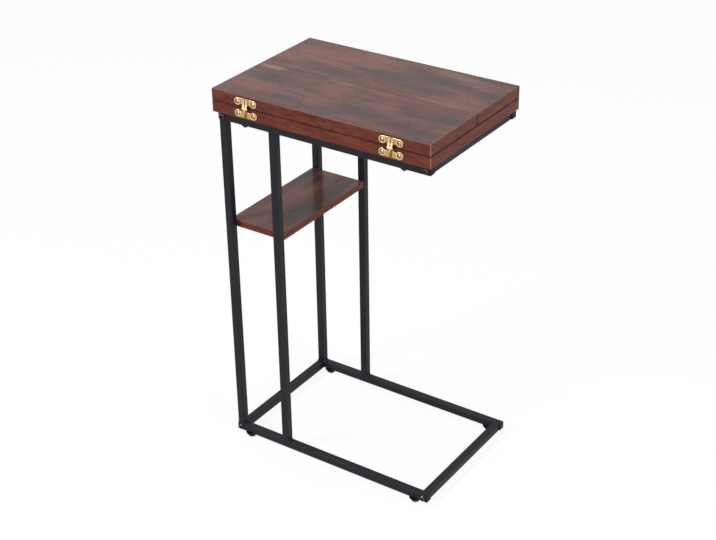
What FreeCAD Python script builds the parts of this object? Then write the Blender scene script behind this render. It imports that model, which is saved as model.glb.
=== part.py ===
import FreeCAD, Part

"""Fold-out end table: a C-shaped frame of square steel tube that carries a thick board and a small shelf.

Two half-width leaves lie on the board. Each swings outwards on two cast brass hinges, through half a turn,
until it stands level with the board as an extension of the top.

Millimetres, +Z up. The origin is on the floor under the middle of the top. +X runs along the top towards the
open side of the C, and +Y runs towards the back.
"""

import math
import os
from types import SimpleNamespace

import Sketcher
from FreeCAD import Placement, Rotation, Vector

PARTS_FOLDER = "parts"

SIZES = [
    # the whole table
    ("overall_height", 650, "floor to the closed top"),
    ("top_length", 400, "top along X"),
    ("top_depth", 262, "top along Y, without the hinges"),
    ("overhang_left", 9, "top beyond the left ends of the rails"),
    ("overhang_right", 3.8, "top beyond the right ends of the rails"),
    ("overhang_side", 3.5, "top beyond the outer faces of the side frames"),
    # boards
    ("board_thickness", 19, "lower board and leaves"),
    ("leaf_gap", 0.8, "shadow line between a leaf and the lower board"),
    ("seam_gap", 0.5, "gap between the two leaves"),
    ("board_edge_radius", 0.6, "eased edges of every board"),
    ("shelf_height", 419, "floor to the top of the shelf"),
    ("shelf_thickness", 12, "shelf board"),
    ("shelf_inset", 1.3, "shelf edge behind the faces of the uprights"),
    # frame tubes
    ("tube_size", 13, "square tube, outside"),
    ("tube_wall", 1, "tube wall"),
    ("tube_corner_radius", 1.3, "rounded outer corners of the tube"),
    ("upright_spacing", 95.7, "left face to left face of the two uprights"),
    ("cross_rail_setback", 0.2, "right cross rails behind the open ends of the long rails"),
    # end caps and feet
    ("cap_flange", 1.5, "end cap outside the tube"),
    ("cap_edge_radius", 0.9, "rounded rim of the end cap"),
    ("cap_clearance", 0.1, "end cap plug to the inside of the tube, each side"),
    ("cap_bolt_gap", 0.5, "end cap plug to the bolt beside it"),
    ("foot_height", 8, "floor to the underside of the rails"),
    ("foot_top_diameter", 21, "foot at the rail"),
    ("foot_tip_diameter", 13, "foot at the floor"),
    ("foot_rim", 1.6, "straight rim at the top of the foot"),
    ("foot_edge_radius", 0.8, "rounded lower edge of the foot"),
    ("foot_inset", 24.5, "foot centre from the rail's end"),
    ("foot_stem_diameter", 6, "stem through the wall of the rail"),
    ("foot_stem_length", 8.5, "stem above the foot"),
    ("foot_barb", 0.45, "barb of the stem beyond its own radius"),
    # frame bolts and the threaded blocks that they pull on
    ("bolt_diameter", 6, "frame bolt"),
    ("bolt_length", 25, "frame bolt under its head"),
    ("bolt_head_diameter", 11, "button head"),
    ("bolt_head_height", 3.8, "button head"),
    ("bolt_socket_width", 4, "hexagon socket across flats"),
    ("bolt_socket_depth", 2, "hexagon socket"),
    ("block_length", 16, "threaded block in each end of a cross rail"),
    ("bolt_hole_clearance", 0.2, "bolt to its hole in a rail, each side"),
    ("thread_clearance", 0.05, "screw or bolt to the material that it bites, each side"),
    # wood screws
    ("screw_diameter", 4, "screws that hold the board and the shelf"),
    ("screw_head_diameter", 8.4, "pan head"),
    ("board_screw_head_height", 3.2, "pan head of a board screw"),
    ("shelf_screw_head_height", 1.4, "low pan head of a shelf screw"),
    ("screw_washer_diameter", 11.5, "washer under the head of a board screw"),
    ("screw_washer_thickness", 1.6, "washer under the head of a board screw"),
    ("screw_recess_span", 4.4, "cross recess, tip to tip"),
    ("screw_recess_width", 0.9, "cross recess"),
    ("screw_recess_depth", 1.2, "cross recess"),
    ("board_screw_length", 26, "through a top rail into the lower board"),
    ("board_screw_inset", 47, "board screw from the rail's end"),
    ("shelf_screw_length", 32, "through an upright into the edge of the shelf"),
    ("pilot_extra_depth", 1, "pilot hole beyond the screw's tip"),
    # cast hinges
    ("hinge_inset", 67, "hinge centre from the end of the top"),
    ("hinge_screw_spacing", 30, "screw to screw in one plate"),
    ("hinge_end_diameter", 12.5, "round ends of a plate"),
    ("hinge_plate_thickness", 1.8, "plate of a hinge"),
    ("hinge_edge_radius", 0.5, "rounded front edges of a plate"),
    ("hinge_scallop_radius", 4.5, "hollow beside the root of the knuckle"),
    ("hinge_root_gap", 4.5, "joint plane to the root of the plate"),
    ("hinge_axis_offset", 3.4, "hinge axis in front of the board edges"),
    ("knuckle_diameter", 5.2, "barrel round the pin"),
    ("arm_width", 3.4, "each of the leaf plate's two arms"),
    ("arm_slot", 1.8, "space between the two arms"),
    ("arm_top_inset", 1, "end of an arm inside the plate's far edge"),
    ("tongue_reach", 8.5, "joint plane to the end of the tongue on its plate"),
    ("arm_rise", 0.7, "far end of an arm above the face of its plate"),
    ("arm_knee_rise", 1.4, "knee of an arm above the face of its plate"),
    ("arm_knee", 7.5, "joint plane to the knee of an arm"),
    ("arm_edge_radius", 0.4, "rounded front edges of the arms and the tongue"),
    ("knuckle_side_clearance", 0.2, "tongue to arm, each side"),
    ("hinge_pin_diameter", 2.2, "hinge pin"),
    ("hinge_pin_clearance", 0.05, "pin to knuckle, each side"),
    ("hinge_pin_head_diameter", 3.8, "peened ends of the pin"),
    ("hinge_pin_head_height", 0.6, "peened ends of the pin"),
    ("hinge_pin_end_play", 0.1, "peened end to the arm beside it"),
    ("hinge_ring_diameter", 11.4, "raised ring round each screw"),
    ("hinge_ring_height", 0.5, "raised ring above the plate"),
    ("hinge_ring_radius", 0.25, "rounded rim of the raised ring"),
    ("hinge_recess_diameter", 8.4, "dish inside the ring"),
    ("hinge_recess_depth", 0.5, "dish below the face of the plate"),
    ("hinge_screw_diameter", 2.8, "brass hinge screw"),
    ("hinge_screw_head_diameter", 4.8, "raised countersunk head"),
    ("hinge_screw_dome", 0.6, "raised part of the head"),
    ("hinge_screw_length", 7.5, "hinge screw below its head's rim"),
    ("hinge_screw_recess_span", 3, "cross recess, tip to tip"),
    ("hinge_screw_recess_width", 0.6, "cross recess"),
    ("hinge_screw_recess_depth", 0.8, "cross recess"),
]


class Size:
    """A length as a number and as the sheet expression that gives it, so that both follow the sheet."""

    def __init__(self, text, value):
        self.text = text
        self.value = float(value)

    @staticmethod
    def of(other):
        return other if isinstance(other, Size) else Size(f"{other}", other)

    def __add__(self, other):
        other = Size.of(other)
        return Size(f"({self.text} + {other.text})", self.value + other.value)

    def __sub__(self, other):
        other = Size.of(other)
        return Size(f"({self.text} - {other.text})", self.value - other.value)

    def __mul__(self, other):
        other = Size.of(other)
        return Size(f"({self.text} * {other.text})", self.value * other.value)

    def __truediv__(self, other):
        other = Size.of(other)
        return Size(f"({self.text} / {other.text})", self.value / other.value)

    def __neg__(self):
        return Size(f"(0 - {self.text})", -self.value)


ZERO = Size("0", 0)

doc = FreeCAD.newDocument("FoldOutEndTable")


def fill_sheet():
    """Writes the driving sizes into the spreadsheet and returns them by name."""
    sheet = doc.addObject("Spreadsheet::Sheet", "Sizes")
    for row, (alias, value, meaning) in enumerate(SIZES, start=1):
        sheet.set(f"A{row}", f"{value}")
        sheet.setAlias(f"A{row}", alias)
        sheet.set(f"B{row}", meaning)
    doc.recompute()
    named = {alias: Size(f"Sizes.{alias}", sheet.get(alias)) for alias, _, _ in SIZES}
    return SimpleNamespace(**named)


def lay_out(s):
    """The places that follow from the driving sizes."""
    at = SimpleNamespace()
    # boards, upwards from the frame
    at.frame_top = s.overall_height - s.board_thickness * 2 - s.leaf_gap
    at.joint_z = at.frame_top + s.board_thickness + s.leaf_gap / 2
    at.leaf_bottom = at.joint_z + s.leaf_gap / 2
    at.board_front = -(s.top_depth / 2)
    at.board_middle_offset = (s.leaf_gap + s.board_thickness) / 2
    at.leaf_depth = (s.top_depth - s.seam_gap) / 2
    # rails and uprights: the centre lines of the tubes
    half_tube = s.tube_size / 2
    at.rail_left = s.overhang_left - s.top_length / 2
    at.rail_length = s.top_length - s.overhang_left - s.overhang_right
    at.frame_depth = s.top_depth - s.overhang_side * 2
    at.rail_y = at.frame_depth / 2 - half_tube
    at.base_rail_z = s.foot_height + half_tube
    at.top_rail_z = at.frame_top - half_tube
    at.upright_length = at.frame_top - s.foot_height - s.tube_size * 2
    at.outer_upright_x = at.rail_left + half_tube
    at.inner_upright_x = at.outer_upright_x + s.upright_spacing
    at.cross_length = at.frame_depth - s.tube_size * 2
    at.cross_along = [half_tube, at.rail_length - s.cross_rail_setback - half_tube]
    at.foot_along = [s.foot_inset, at.rail_length - s.foot_inset]
    at.board_screw_along = [s.board_screw_inset, at.rail_length - s.board_screw_inset]
    # shelf
    at.shelf_left = at.rail_left + s.shelf_inset
    at.shelf_length = s.upright_spacing + s.tube_size - s.shelf_inset * 2
    at.shelf_middle_z = s.shelf_height - s.shelf_thickness / 2
    # hinges
    at.hinge_x = s.top_length / 2 - s.hinge_inset
    at.hinge_screw_x = s.hinge_screw_spacing / 2
    at.arms_width = s.arm_width * 2 + s.arm_slot
    return at


s = fill_sheet()
at = lay_out(s)

FACING_UP = Rotation()
FACING_FRONT = Rotation(Vector(1, 0, 0), 90)
FACING_BACK = Rotation(Vector(1, 0, 0), -90)
FACING_DOWN = Rotation(Vector(1, 0, 0), 180)
ALONG_X = Rotation(Vector(0, 1, 0), 90)
ALONG_Y = Rotation(Vector(1, 0, 0), -90)
ALONG_Z = Rotation()

PIECES = []


# ---------------------------------------------------------------- placing


def place(thing, spot, turn=FACING_UP):
    """Turns the object, and binds each coordinate of its place to the sheet."""
    thing.Placement = Placement(Vector(*(size.value for size in spot)), turn)
    for axis, size in zip("xyz", spot):
        thing.setExpression(f"Placement.Base.{axis}", size.text)


def new_body(name, spot=(ZERO, ZERO, ZERO), turn=FACING_UP, piece=True):
    """A body. A piece is written to a file of its own; the others are patterns that groups copy."""
    body = doc.addObject("PartDesign::Body", name)
    body.Label = name
    place(body, spot, turn)
    if piece:
        PIECES.append(body)
    return body


def group(name, pattern, spots):
    """Separate copies of one pattern body as a single piece; spots holds (spot, turn) pairs."""
    links = []
    for number, (spot, turn) in enumerate(spots, start=1):
        link = doc.addObject("App::Link", f"{name}_{number}")
        link.LinkedObject = pattern
        link.LinkTransform = False
        place(link, spot, turn)
        links.append(link)
    compound = doc.addObject("Part::Compound", name)
    compound.Label = name
    compound.Links = links
    PIECES.append(compound)
    return compound


# ---------------------------------------------------------------- sketches


def new_sketch(body, name, plane, offset=None):
    """A sketch on one of the body's own origin planes, moved along the plane's normal by offset."""
    sketch = body.newObject("Sketcher::SketchObject", f"{body.Name}_{name}")
    support = next(f for f in body.Origin.OriginFeatures if f.Role == plane)
    sketch.AttachmentSupport = [(support, "")]
    sketch.MapMode = "FlatFace"
    if offset is not None:
        sketch.AttachmentOffset = Placement(Vector(0, 0, offset.value), Rotation())
        sketch.setExpression("AttachmentOffset.Base.z", offset.text)
    return sketch


def bind(sketch, size, kind, *where):
    """Adds a constraint whose value follows the sheet."""
    index = sketch.addConstraint(Sketcher.Constraint(kind, *where, size.value))
    sketch.setExpression(f"Constraints[{index}]", size.text)


def pin_point(sketch, geometry, point, x, y):
    """Holds one point of a sketch at x, y from the sketch's origin."""
    bind(sketch, x, "DistanceX", -1, 1, geometry, point)
    bind(sketch, y, "DistanceY", -1, 1, geometry, point)


def polygon(sketch, corners):
    """A closed outline with straight sides through corners, each an (x, y) pair of sizes."""
    points = [Vector(x.value, y.value, 0) for x, y in corners]
    first = sketch.GeometryCount
    for start, end in zip(points, points[1:] + points[:1]):
        sketch.addGeometry(Part.LineSegment(start, end))
    for number, (x, y) in enumerate(corners):
        line = first + number
        following = first + (number + 1) % len(corners)
        sketch.addConstraint(Sketcher.Constraint("Coincident", line, 2, following, 1))
        pin_point(sketch, line, 1, x, y)


def rectangle(sketch, left, right, bottom, top):
    polygon(sketch, [(left, bottom), (right, bottom), (right, top), (left, top)])


def circle(sketch, x, y, diameter):
    centre = Vector(x.value, y.value, 0)
    index = sketch.addGeometry(Part.Circle(centre, Vector(0, 0, 1), diameter.value / 2))
    pin_point(sketch, index, 3, x, y)
    bind(sketch, diameter, "Diameter", index)


def arc(sketch, centre, radius, start_degrees, end_degrees):
    """An arc that runs anticlockwise. Its radius follows the sheet; its centre is left free."""
    ring = Part.Circle(Vector(*centre, 0), Vector(0, 0, 1), radius.value)
    ends = (math.radians(start_degrees), math.radians(end_degrees))
    index = sketch.addGeometry(Part.ArcOfCircle(ring, *ends))
    bind(sketch, radius, "Radius", index)
    return index


def rounded_square(sketch, width, radius):
    """A square about the origin with its corners rounded."""
    reach = width / 2 - radius
    corners = [(reach, reach), (-reach, reach), (-reach, -reach), (reach, -reach)]
    arcs = []
    for number, (x, y) in enumerate(corners):
        index = arc(sketch, (x.value, y.value), radius, 90 * number, 90 * number + 90)
        pin_point(sketch, index, 3, x, y)
        arcs.append(index)
    for number, index in enumerate(arcs):
        following = arcs[(number + 1) % 4]
        ends = []
        for side, step in ((corners[number], number), (corners[(number + 1) % 4], number)):
            angle = math.radians(90 * step + 90)
            x = side[0].value + radius.value * math.cos(angle)
            y = side[1].value + radius.value * math.sin(angle)
            ends.append(Vector(x, y, 0))
        line = sketch.addGeometry(Part.LineSegment(*ends))
        sketch.addConstraint(Sketcher.Constraint("Tangent", index, 2, line, 1))
        sketch.addConstraint(Sketcher.Constraint("Tangent", line, 2, following, 1))


# ---------------------------------------------------------------- features


def pad(body, sketch, length, symmetric=False, reverse=False):
    feature = body.newObject("PartDesign::Pad", f"{sketch.Name}_pad")
    feature.Profile = sketch
    feature.SideType = "Symmetric" if symmetric else "One side"
    feature.Reversed = reverse
    feature.setExpression("Length", length.text)
    return feature


def pocket(body, sketch, depth=None, symmetric=False, reverse=False):
    """A cut against the sketch's normal, or along it if reversed; without a depth it goes right through."""
    feature = body.newObject("PartDesign::Pocket", f"{sketch.Name}_cut")
    feature.Profile = sketch
    feature.SideType = "Symmetric" if symmetric else "One side"
    feature.Reversed = reverse
    if depth is None:
        feature.Type = "ThroughAll"
    else:
        feature.setExpression("Length", depth.text)
    return feature


def revolve(body, corners):
    """Turns an outline of (radius, z) corners once round the body's Z axis."""
    sketch = new_sketch(body, "profile", "XZ_Plane")
    polygon(sketch, corners)
    feature = body.newObject("PartDesign::Revolution", f"{body.Name}_turned")
    feature.Profile = sketch
    feature.ReferenceAxis = (sketch, ["V_Axis"])
    feature.Angle = 360
    return feature


def round_edges(body, radius, chosen):
    """Rounds the edges of the body's tip for which chosen(edge) holds."""
    return dress(body, "PartDesign::Fillet", "Radius", radius, chosen)


def bevel_edges(body, size, chosen):
    return dress(body, "PartDesign::Chamfer", "Size", size, chosen)


def dress(body, kind, property_name, size, chosen):
    doc.recompute()
    base = body.Tip
    names = [f"Edge{i}" for i, edge in enumerate(base.Shape.Edges, start=1) if chosen(edge)]
    if not names:
        raise RuntimeError(f"{body.Label} has no edge to dress")
    feature = body.newObject(kind, f"{body.Name}_{property_name.lower()}_{len(names)}")
    feature.Base = (base, names)
    feature.setExpression(property_name, size.text)
    return feature


def is_ring_at(axis, level, radius):
    """Picks the circular edges of that radius in the plane where the coordinate is level."""

    def chosen(edge):
        if not isinstance(edge.Curve, Part.Circle):
            return False
        flat = abs(getattr(edge.CenterOfMass, axis) - level.value) < 1e-4
        return flat and abs(edge.Curve.Radius - radius.value) < 1e-4

    return chosen


# ---------------------------------------------------------------- steel tubes


def tube(name, length, spot, turn, bores=()):
    """A square tube along its own Z, centred on its axis, with bores through its walls.

    Each bore is (plane, z, diameter, sides). The bore runs along the plane's normal, through both walls
    where sides is "both", and else through the wall on the normal's positive side.
    """
    body = new_body(name, spot, turn)
    section = new_sketch(body, "section", "XY_Plane")
    rounded_square(section, s.tube_size, s.tube_corner_radius)
    inner = s.tube_size / 2 - s.tube_wall
    rectangle(section, -inner, inner, -inner, inner)
    pad(body, section, length)
    for number, (plane, z, diameter, sides) in enumerate(bores):
        sketch = new_sketch(body, f"bore_{number}", plane)
        circle(sketch, ZERO, z, diameter)
        pocket(body, sketch, symmetric=sides == "both", reverse=sides != "both")
    return body


def long_rail(name, y, z, underside):
    """A long rail of a side frame, from its left end, with the cross bolts' bores.

    underside is "feet" for stem bores in its lower wall, or "board" for the screws that hold the board.
    Along a rail the body's own X points down and its own Y points to the back.
    """
    bolt_bore = s.bolt_diameter + s.bolt_hole_clearance * 2
    bores = [("XZ_Plane", along, bolt_bore, "both") for along in at.cross_along]
    if underside == "feet":
        stem_bore = s.foot_stem_diameter + s.bolt_hole_clearance * 2
        bores += [("YZ_Plane", along, stem_bore, "lower") for along in at.foot_along]
    else:
        screw_bore = s.screw_diameter + s.bolt_hole_clearance * 2
        bores += [("YZ_Plane", along, screw_bore, "both") for along in at.board_screw_along]
    return tube(name, at.rail_length, (at.rail_left, y, z), ALONG_X, bores)


def frame_rails():
    for end, y in (("front", -at.rail_y), ("rear", at.rail_y)):
        long_rail(f"{end}_base_rail", y, at.base_rail_z, "feet")
        long_rail(f"{end}_top_rail", y, at.top_rail_z, "board")
    start = -(at.cross_length / 2)
    for level, z in (("base", at.base_rail_z), ("top", at.top_rail_z)):
        for side, along in zip(("left", "right"), at.cross_along):
            spot = (at.rail_left + along, start, z)
            tube(f"{side}_{level}_cross_rail", at.cross_length, spot, ALONG_Y)


def uprights():
    """Four uprights welded between the base rails and the top rails, bored for the shelf screws."""
    foot = s.foot_height + s.tube_size
    bore = s.screw_diameter + s.bolt_hole_clearance * 2
    shelf_bore = ("XZ_Plane", at.shelf_middle_z - foot, bore, "both")
    for end, y in (("front", -at.rail_y), ("rear", at.rail_y)):
        for side, x in (("outer", at.outer_upright_x), ("inner", at.inner_upright_x)):
            tube(f"{end}_{side}_upright", at.upright_length, (x, y, foot), ALONG_Z, [shelf_bore])


# ---------------------------------------------------------------- caps, feet, blocks


def end_caps():
    """Plastic caps in the open ends of the four long rails."""
    body = new_body("end_cap_pattern", piece=False)
    flange = new_sketch(body, "flange", "XY_Plane")
    rounded_square(flange, s.tube_size, s.tube_corner_radius)
    pad(body, flange, s.cap_flange)
    round_edges(body, s.cap_edge_radius, lambda edge: edge.BoundBox.ZMin > s.cap_flange.value - 1e-4)
    reach = s.tube_size / 2 - s.tube_wall - s.cap_clearance
    plug = new_sketch(body, "plug", "XY_Plane")
    rectangle(plug, -reach, reach, -reach, reach)
    bolt_side = (s.tube_size - s.bolt_diameter) / 2
    pad(body, plug, bolt_side - s.cap_bolt_gap, reverse=True)
    left_turn = Rotation(Vector(0, 1, 0), -90)
    spots = []
    for y in (-at.rail_y, at.rail_y):
        for z in (at.base_rail_z, at.top_rail_z):
            spots.append(((at.rail_left, y, z), left_turn))
            spots.append(((at.rail_left + at.rail_length, y, z), ALONG_X))
    group("rail_end_caps", body, spots)


def foot(name, x, y):
    """A moulded glide that tapers to the floor, with a barbed stem that snaps into the rail."""
    body = new_body(name, (x, y, ZERO))
    stem = s.foot_stem_diameter / 2
    barb = stem + s.foot_barb
    above_wall = s.foot_height + s.tube_wall + s.bolt_hole_clearance
    stem_top = s.foot_height + s.foot_stem_length
    revolve(
        body,
        [
            (ZERO, ZERO),
            (s.foot_tip_diameter / 2, ZERO),
            (s.foot_top_diameter / 2, s.foot_height - s.foot_rim),
            (s.foot_top_diameter / 2, s.foot_height),
            (stem, s.foot_height),
            (stem, above_wall),
            (barb, above_wall + s.foot_barb),
            (stem * 0.7, stem_top),
            (ZERO, stem_top),
        ],
    )
    round_edges(body, s.foot_edge_radius, is_ring_at("z", ZERO, s.foot_tip_diameter / 2))
    return body


def feet():
    for end, y in (("front", -at.rail_y), ("rear", at.rail_y)):
        for side, along in zip(("left", "right"), at.foot_along):
            foot(f"{end}_{side}_foot", at.rail_left + along, y)


def threaded_blocks():
    """Blocks welded into the ends of the cross rails for the frame bolts."""
    body = new_body("threaded_block_pattern", piece=False)
    section = new_sketch(body, "section", "XY_Plane")
    half = s.tube_size / 2 - s.tube_wall - s.thread_clearance
    rectangle(section, -half, half, -half, half)
    circle(section, ZERO, ZERO, s.bolt_diameter + s.thread_clearance * 2)
    pad(body, section, s.block_length, reverse=True)
    end = at.cross_length / 2
    spots = []
    for along in at.cross_along:
        for z in (at.base_rail_z, at.top_rail_z):
            spots.append(((at.rail_left + along, -end, z), FACING_FRONT))
            spots.append(((at.rail_left + along, end, z), FACING_BACK))
    group("threaded_blocks", body, spots)


# ---------------------------------------------------------------- bolts and screws


def frame_bolts():
    """Button-head bolts through the side frames into the cross rails."""
    body = new_body("frame_bolt_pattern", piece=False)
    shank = s.bolt_diameter / 2
    head = s.bolt_head_diameter / 2
    revolve(
        body,
        [
            (ZERO, -s.bolt_length),
            (shank, -s.bolt_length),
            (shank, ZERO),
            (head, ZERO),
            (head, s.bolt_head_height * 0.3),
            (head * 0.55, s.bolt_head_height),
            (ZERO, s.bolt_head_height),
        ],
    )
    round_edges(body, s.bolt_head_height * 0.5, is_ring_at("z", s.bolt_head_height, head * 0.55))
    corner = s.bolt_socket_width / 2 / math.cos(math.radians(30))
    hexagon = []
    for number in range(6):
        angle = math.radians(60 * number)
        hexagon.append((corner * round(math.cos(angle), 9), corner * round(math.sin(angle), 9)))
    socket = new_sketch(body, "socket", "XY_Plane", s.bolt_head_height)
    polygon(socket, hexagon)
    pocket(body, socket, s.bolt_socket_depth)
    face = at.frame_depth / 2
    spots = []
    for along in at.cross_along:
        for z in (at.base_rail_z, at.top_rail_z):
            spots.append(((at.rail_left + along, -face, z), FACING_FRONT))
            spots.append(((at.rail_left + along, face, z), FACING_BACK))
    group("frame_bolts", body, spots)


def cross_recess(body, level, span, width, depth):
    """A cross-shaped driver recess, cut down from level."""
    sketch = new_sketch(body, "recess", "XY_Plane", level)
    tip = span / 2
    side = width / 2
    quarter = [(tip, -side), (tip, side), (side, side)]
    corners = []
    for turn in range(4):
        for x, y in quarter:
            for _ in range(turn):
                x, y = -y, x
            corners.append((x, y))
    polygon(sketch, corners)
    pocket(body, sketch, depth)


def pan_head_screw(name, length, head_height, washer=None):
    """A pan-head wood screw with its seat at z = 0 and its tip at z = -length.

    washer is the (diameter, thickness) of a captive washer under the head.
    """
    body = new_body(name, piece=False)
    shank = s.screw_diameter / 2
    head = s.screw_head_diameter / 2
    under_head = washer[1] if washer else ZERO
    crown = under_head + head_height
    rim = [(washer[0] / 2, ZERO), (washer[0] / 2, under_head)] if washer else []
    revolve(
        body,
        [
            (ZERO, -length),
            (shank, -length + s.screw_diameter),
            (shank, ZERO),
            *rim,
            (head, under_head),
            (head, under_head + head_height * 0.4),
            (head * 0.6, crown),
            (ZERO, crown),
        ],
    )
    cross_recess(
        body,
        crown,
        s.screw_recess_span,
        s.screw_recess_width,
        s.screw_recess_depth,
    )
    return body


def board_screws():
    """Screws with captive washers, up through the top rails into the lower board."""
    washer = (s.screw_washer_diameter, s.screw_washer_thickness)
    body = pan_head_screw(
        "board_screw_pattern", s.board_screw_length, s.board_screw_head_height, washer
    )
    seat = at.frame_top - s.tube_size
    spots = []
    for along in at.board_screw_along:
        for y in (-at.rail_y, at.rail_y):
            spots.append(((at.rail_left + along, y, seat), FACING_DOWN))
    group("board_fixing_screws", body, spots)


def shelf_screws():
    """Screws through the uprights into the edges of the shelf."""
    body = pan_head_screw("shelf_screw_pattern", s.shelf_screw_length, s.shelf_screw_head_height)
    face = at.frame_depth / 2
    spots = []
    for x in (at.outer_upright_x, at.inner_upright_x):
        spots.append(((x, -face, at.shelf_middle_z), FACING_FRONT))
        spots.append(((x, face, at.shelf_middle_z), FACING_BACK))
    group("shelf_screws", body, spots)


# ---------------------------------------------------------------- boards


def board(name, length, depth, thickness, spot):
    """A plain board from its front left lower corner, with every edge eased."""
    body = new_body(name, spot)
    outline = new_sketch(body, "outline", "XY_Plane")
    rectangle(outline, ZERO, length, ZERO, depth)
    pad(body, outline, thickness)
    round_edges(body, s.board_edge_radius, lambda edge: True)
    return body


def edge_pilots(body, label, xs, z, diameter, depth, back_edge=None):
    """Blind pilot holes into the front edge, or into the edge at back_edge."""
    offset = None if back_edge is None else -back_edge
    sketch = new_sketch(body, label, "XZ_Plane", offset)
    for x in xs:
        circle(sketch, x, z, diameter)
    pocket(body, sketch, depth, reverse=back_edge is not None)


def hinge_pilot_places():
    """X of each hinge screw, from the left end of the top."""
    middle = s.top_length / 2
    places = []
    for hinge in (-at.hinge_x, at.hinge_x):
        places += [middle + hinge - at.hinge_screw_x, middle + hinge + at.hinge_screw_x]
    return places


def top_boards():
    """The lower board and the two leaves, with pilots for the hinge screws and the frame screws."""
    left = -(s.top_length / 2)
    xs = hinge_pilot_places()
    height = s.board_thickness / 2
    bite = s.hinge_screw_diameter + s.thread_clearance * 2
    deep = s.hinge_screw_length - s.hinge_plate_thickness + s.hinge_recess_depth + s.pilot_extra_depth

    lower = board(
        "lower_board", s.top_length, s.top_depth, s.board_thickness, (left, at.board_front, at.frame_top)
    )
    edge_pilots(lower, "front_pilots", xs, height, bite, deep)
    edge_pilots(lower, "rear_pilots", xs, height, bite, deep, s.top_depth)
    sketch = new_sketch(lower, "frame_pilots", "XY_Plane")
    for along in at.board_screw_along:
        for y in (-at.rail_y, at.rail_y):
            place_x = s.overhang_left + along
            circle(sketch, place_x, s.top_depth / 2 + y, s.screw_diameter + s.thread_clearance * 2)
    reach = s.board_screw_length - s.tube_size + s.pilot_extra_depth
    pocket(lower, sketch, reach, reverse=True)

    front = board(
        "front_leaf", s.top_length, at.leaf_depth, s.board_thickness, (left, at.board_front, at.leaf_bottom)
    )
    edge_pilots(front, "pilots", xs, height, bite, deep)
    rear_spot = (left, s.seam_gap / 2, at.leaf_bottom)
    rear = board("rear_leaf", s.top_length, at.leaf_depth, s.board_thickness, rear_spot)
    edge_pilots(rear, "pilots", xs, height, bite, deep, at.leaf_depth)


def shelf():
    """The small board between the four uprights."""
    front = -(at.cross_length / 2)
    spot = (at.shelf_left, front, s.shelf_height - s.shelf_thickness)
    body = board("shelf", at.shelf_length, at.cross_length, s.shelf_thickness, spot)
    xs = [s.tube_size / 2 - s.shelf_inset, s.tube_size / 2 - s.shelf_inset + s.upright_spacing]
    height = s.shelf_thickness / 2
    bite = s.screw_diameter + s.thread_clearance * 2
    deep = s.shelf_screw_length - s.tube_size + s.pilot_extra_depth
    edge_pilots(body, "front_pilots", xs, height, bite, deep)
    edge_pilots(body, "rear_pilots", xs, height, bite, deep, at.cross_length)


# ---------------------------------------------------------------- hinges


def dumbbell(sketch):
    """The outline of a plate, its root towards the joint plane and its straight edge away from it.

    Two round ends, joined along the far side by a straight edge. On the near side a hollow arc runs from
    each end to the corner of the root. The hollow touches the round end and passes through that corner,
    and its centre is found from those two facts.
    """
    x_end = at.hinge_screw_x
    z_end = at.board_middle_offset
    radius = s.hinge_end_diameter / 2
    hollow = s.hinge_scallop_radius
    root_x = at.arms_width / 2
    root_z = s.hinge_root_gap

    root = Vector(root_x.value, root_z.value, 0)
    end = Vector(x_end.value, z_end.value, 0)
    span = end.sub(root)
    reach = radius.value + hollow.value
    along = (span.Length**2 + hollow.value**2 - reach**2) / (2 * span.Length)
    across = math.sqrt(hollow.value**2 - along**2)
    unit = Vector(span.x / span.Length, span.y / span.Length, 0)
    hollow_centre = root + unit * along + Vector(unit.y, -unit.x, 0) * across
    to_end = end.sub(hollow_centre)
    meets_end = math.degrees(math.atan2(to_end.y, to_end.x))
    to_root = root.sub(hollow_centre)
    meets_root = math.degrees(math.atan2(to_root.y, to_root.x))

    edge_z = z_end + radius
    far_ends = [Vector(x, edge_z.value, 0) for x in (-x_end.value, x_end.value)]
    straight = sketch.addGeometry(Part.LineSegment(*far_ends))
    right_end = arc(sketch, (end.x, end.y), radius, meets_end - 180, 90)
    left_end = arc(sketch, (-end.x, end.y), radius, 90, 360 - meets_end)
    right_hollow = arc(sketch, (hollow_centre.x, hollow_centre.y), hollow, meets_end, meets_root)
    left_hollow = arc(sketch, (-hollow_centre.x, hollow_centre.y), hollow, 180 - meets_root, 180 - meets_end)
    root_line = sketch.addGeometry(Part.LineSegment(Vector(-root.x, root.y, 0), root))

    pin_point(sketch, right_end, 3, x_end, z_end)
    pin_point(sketch, left_end, 3, -x_end, z_end)
    pin_point(sketch, root_line, 1, -root_x, root_z)
    pin_point(sketch, root_line, 2, root_x, root_z)
    sketch.addConstraint(Sketcher.Constraint("Tangent", straight, 2, right_end, 2))
    sketch.addConstraint(Sketcher.Constraint("Tangent", straight, 1, left_end, 1))
    sketch.addConstraint(Sketcher.Constraint("Tangent", right_end, 1, right_hollow, 1))
    sketch.addConstraint(Sketcher.Constraint("Tangent", left_end, 2, left_hollow, 2))
    sketch.addConstraint(Sketcher.Constraint("Coincident", right_hollow, 2, root_line, 2))
    sketch.addConstraint(Sketcher.Constraint("Coincident", left_hollow, 1, root_line, 1))


def touch_point(point, centre, radius, side):
    """Where a line from point touches the circle; side picks one of the two lines."""
    out = point.sub(centre)
    cosine = radius / out.Length
    unit = Vector(out.x / out.Length, out.y / out.Length, 0)
    across = Vector(-unit.y, unit.x, 0) * (side * math.sqrt(1 - cosine**2))
    return centre + (unit * cosine + across) * radius


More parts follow.
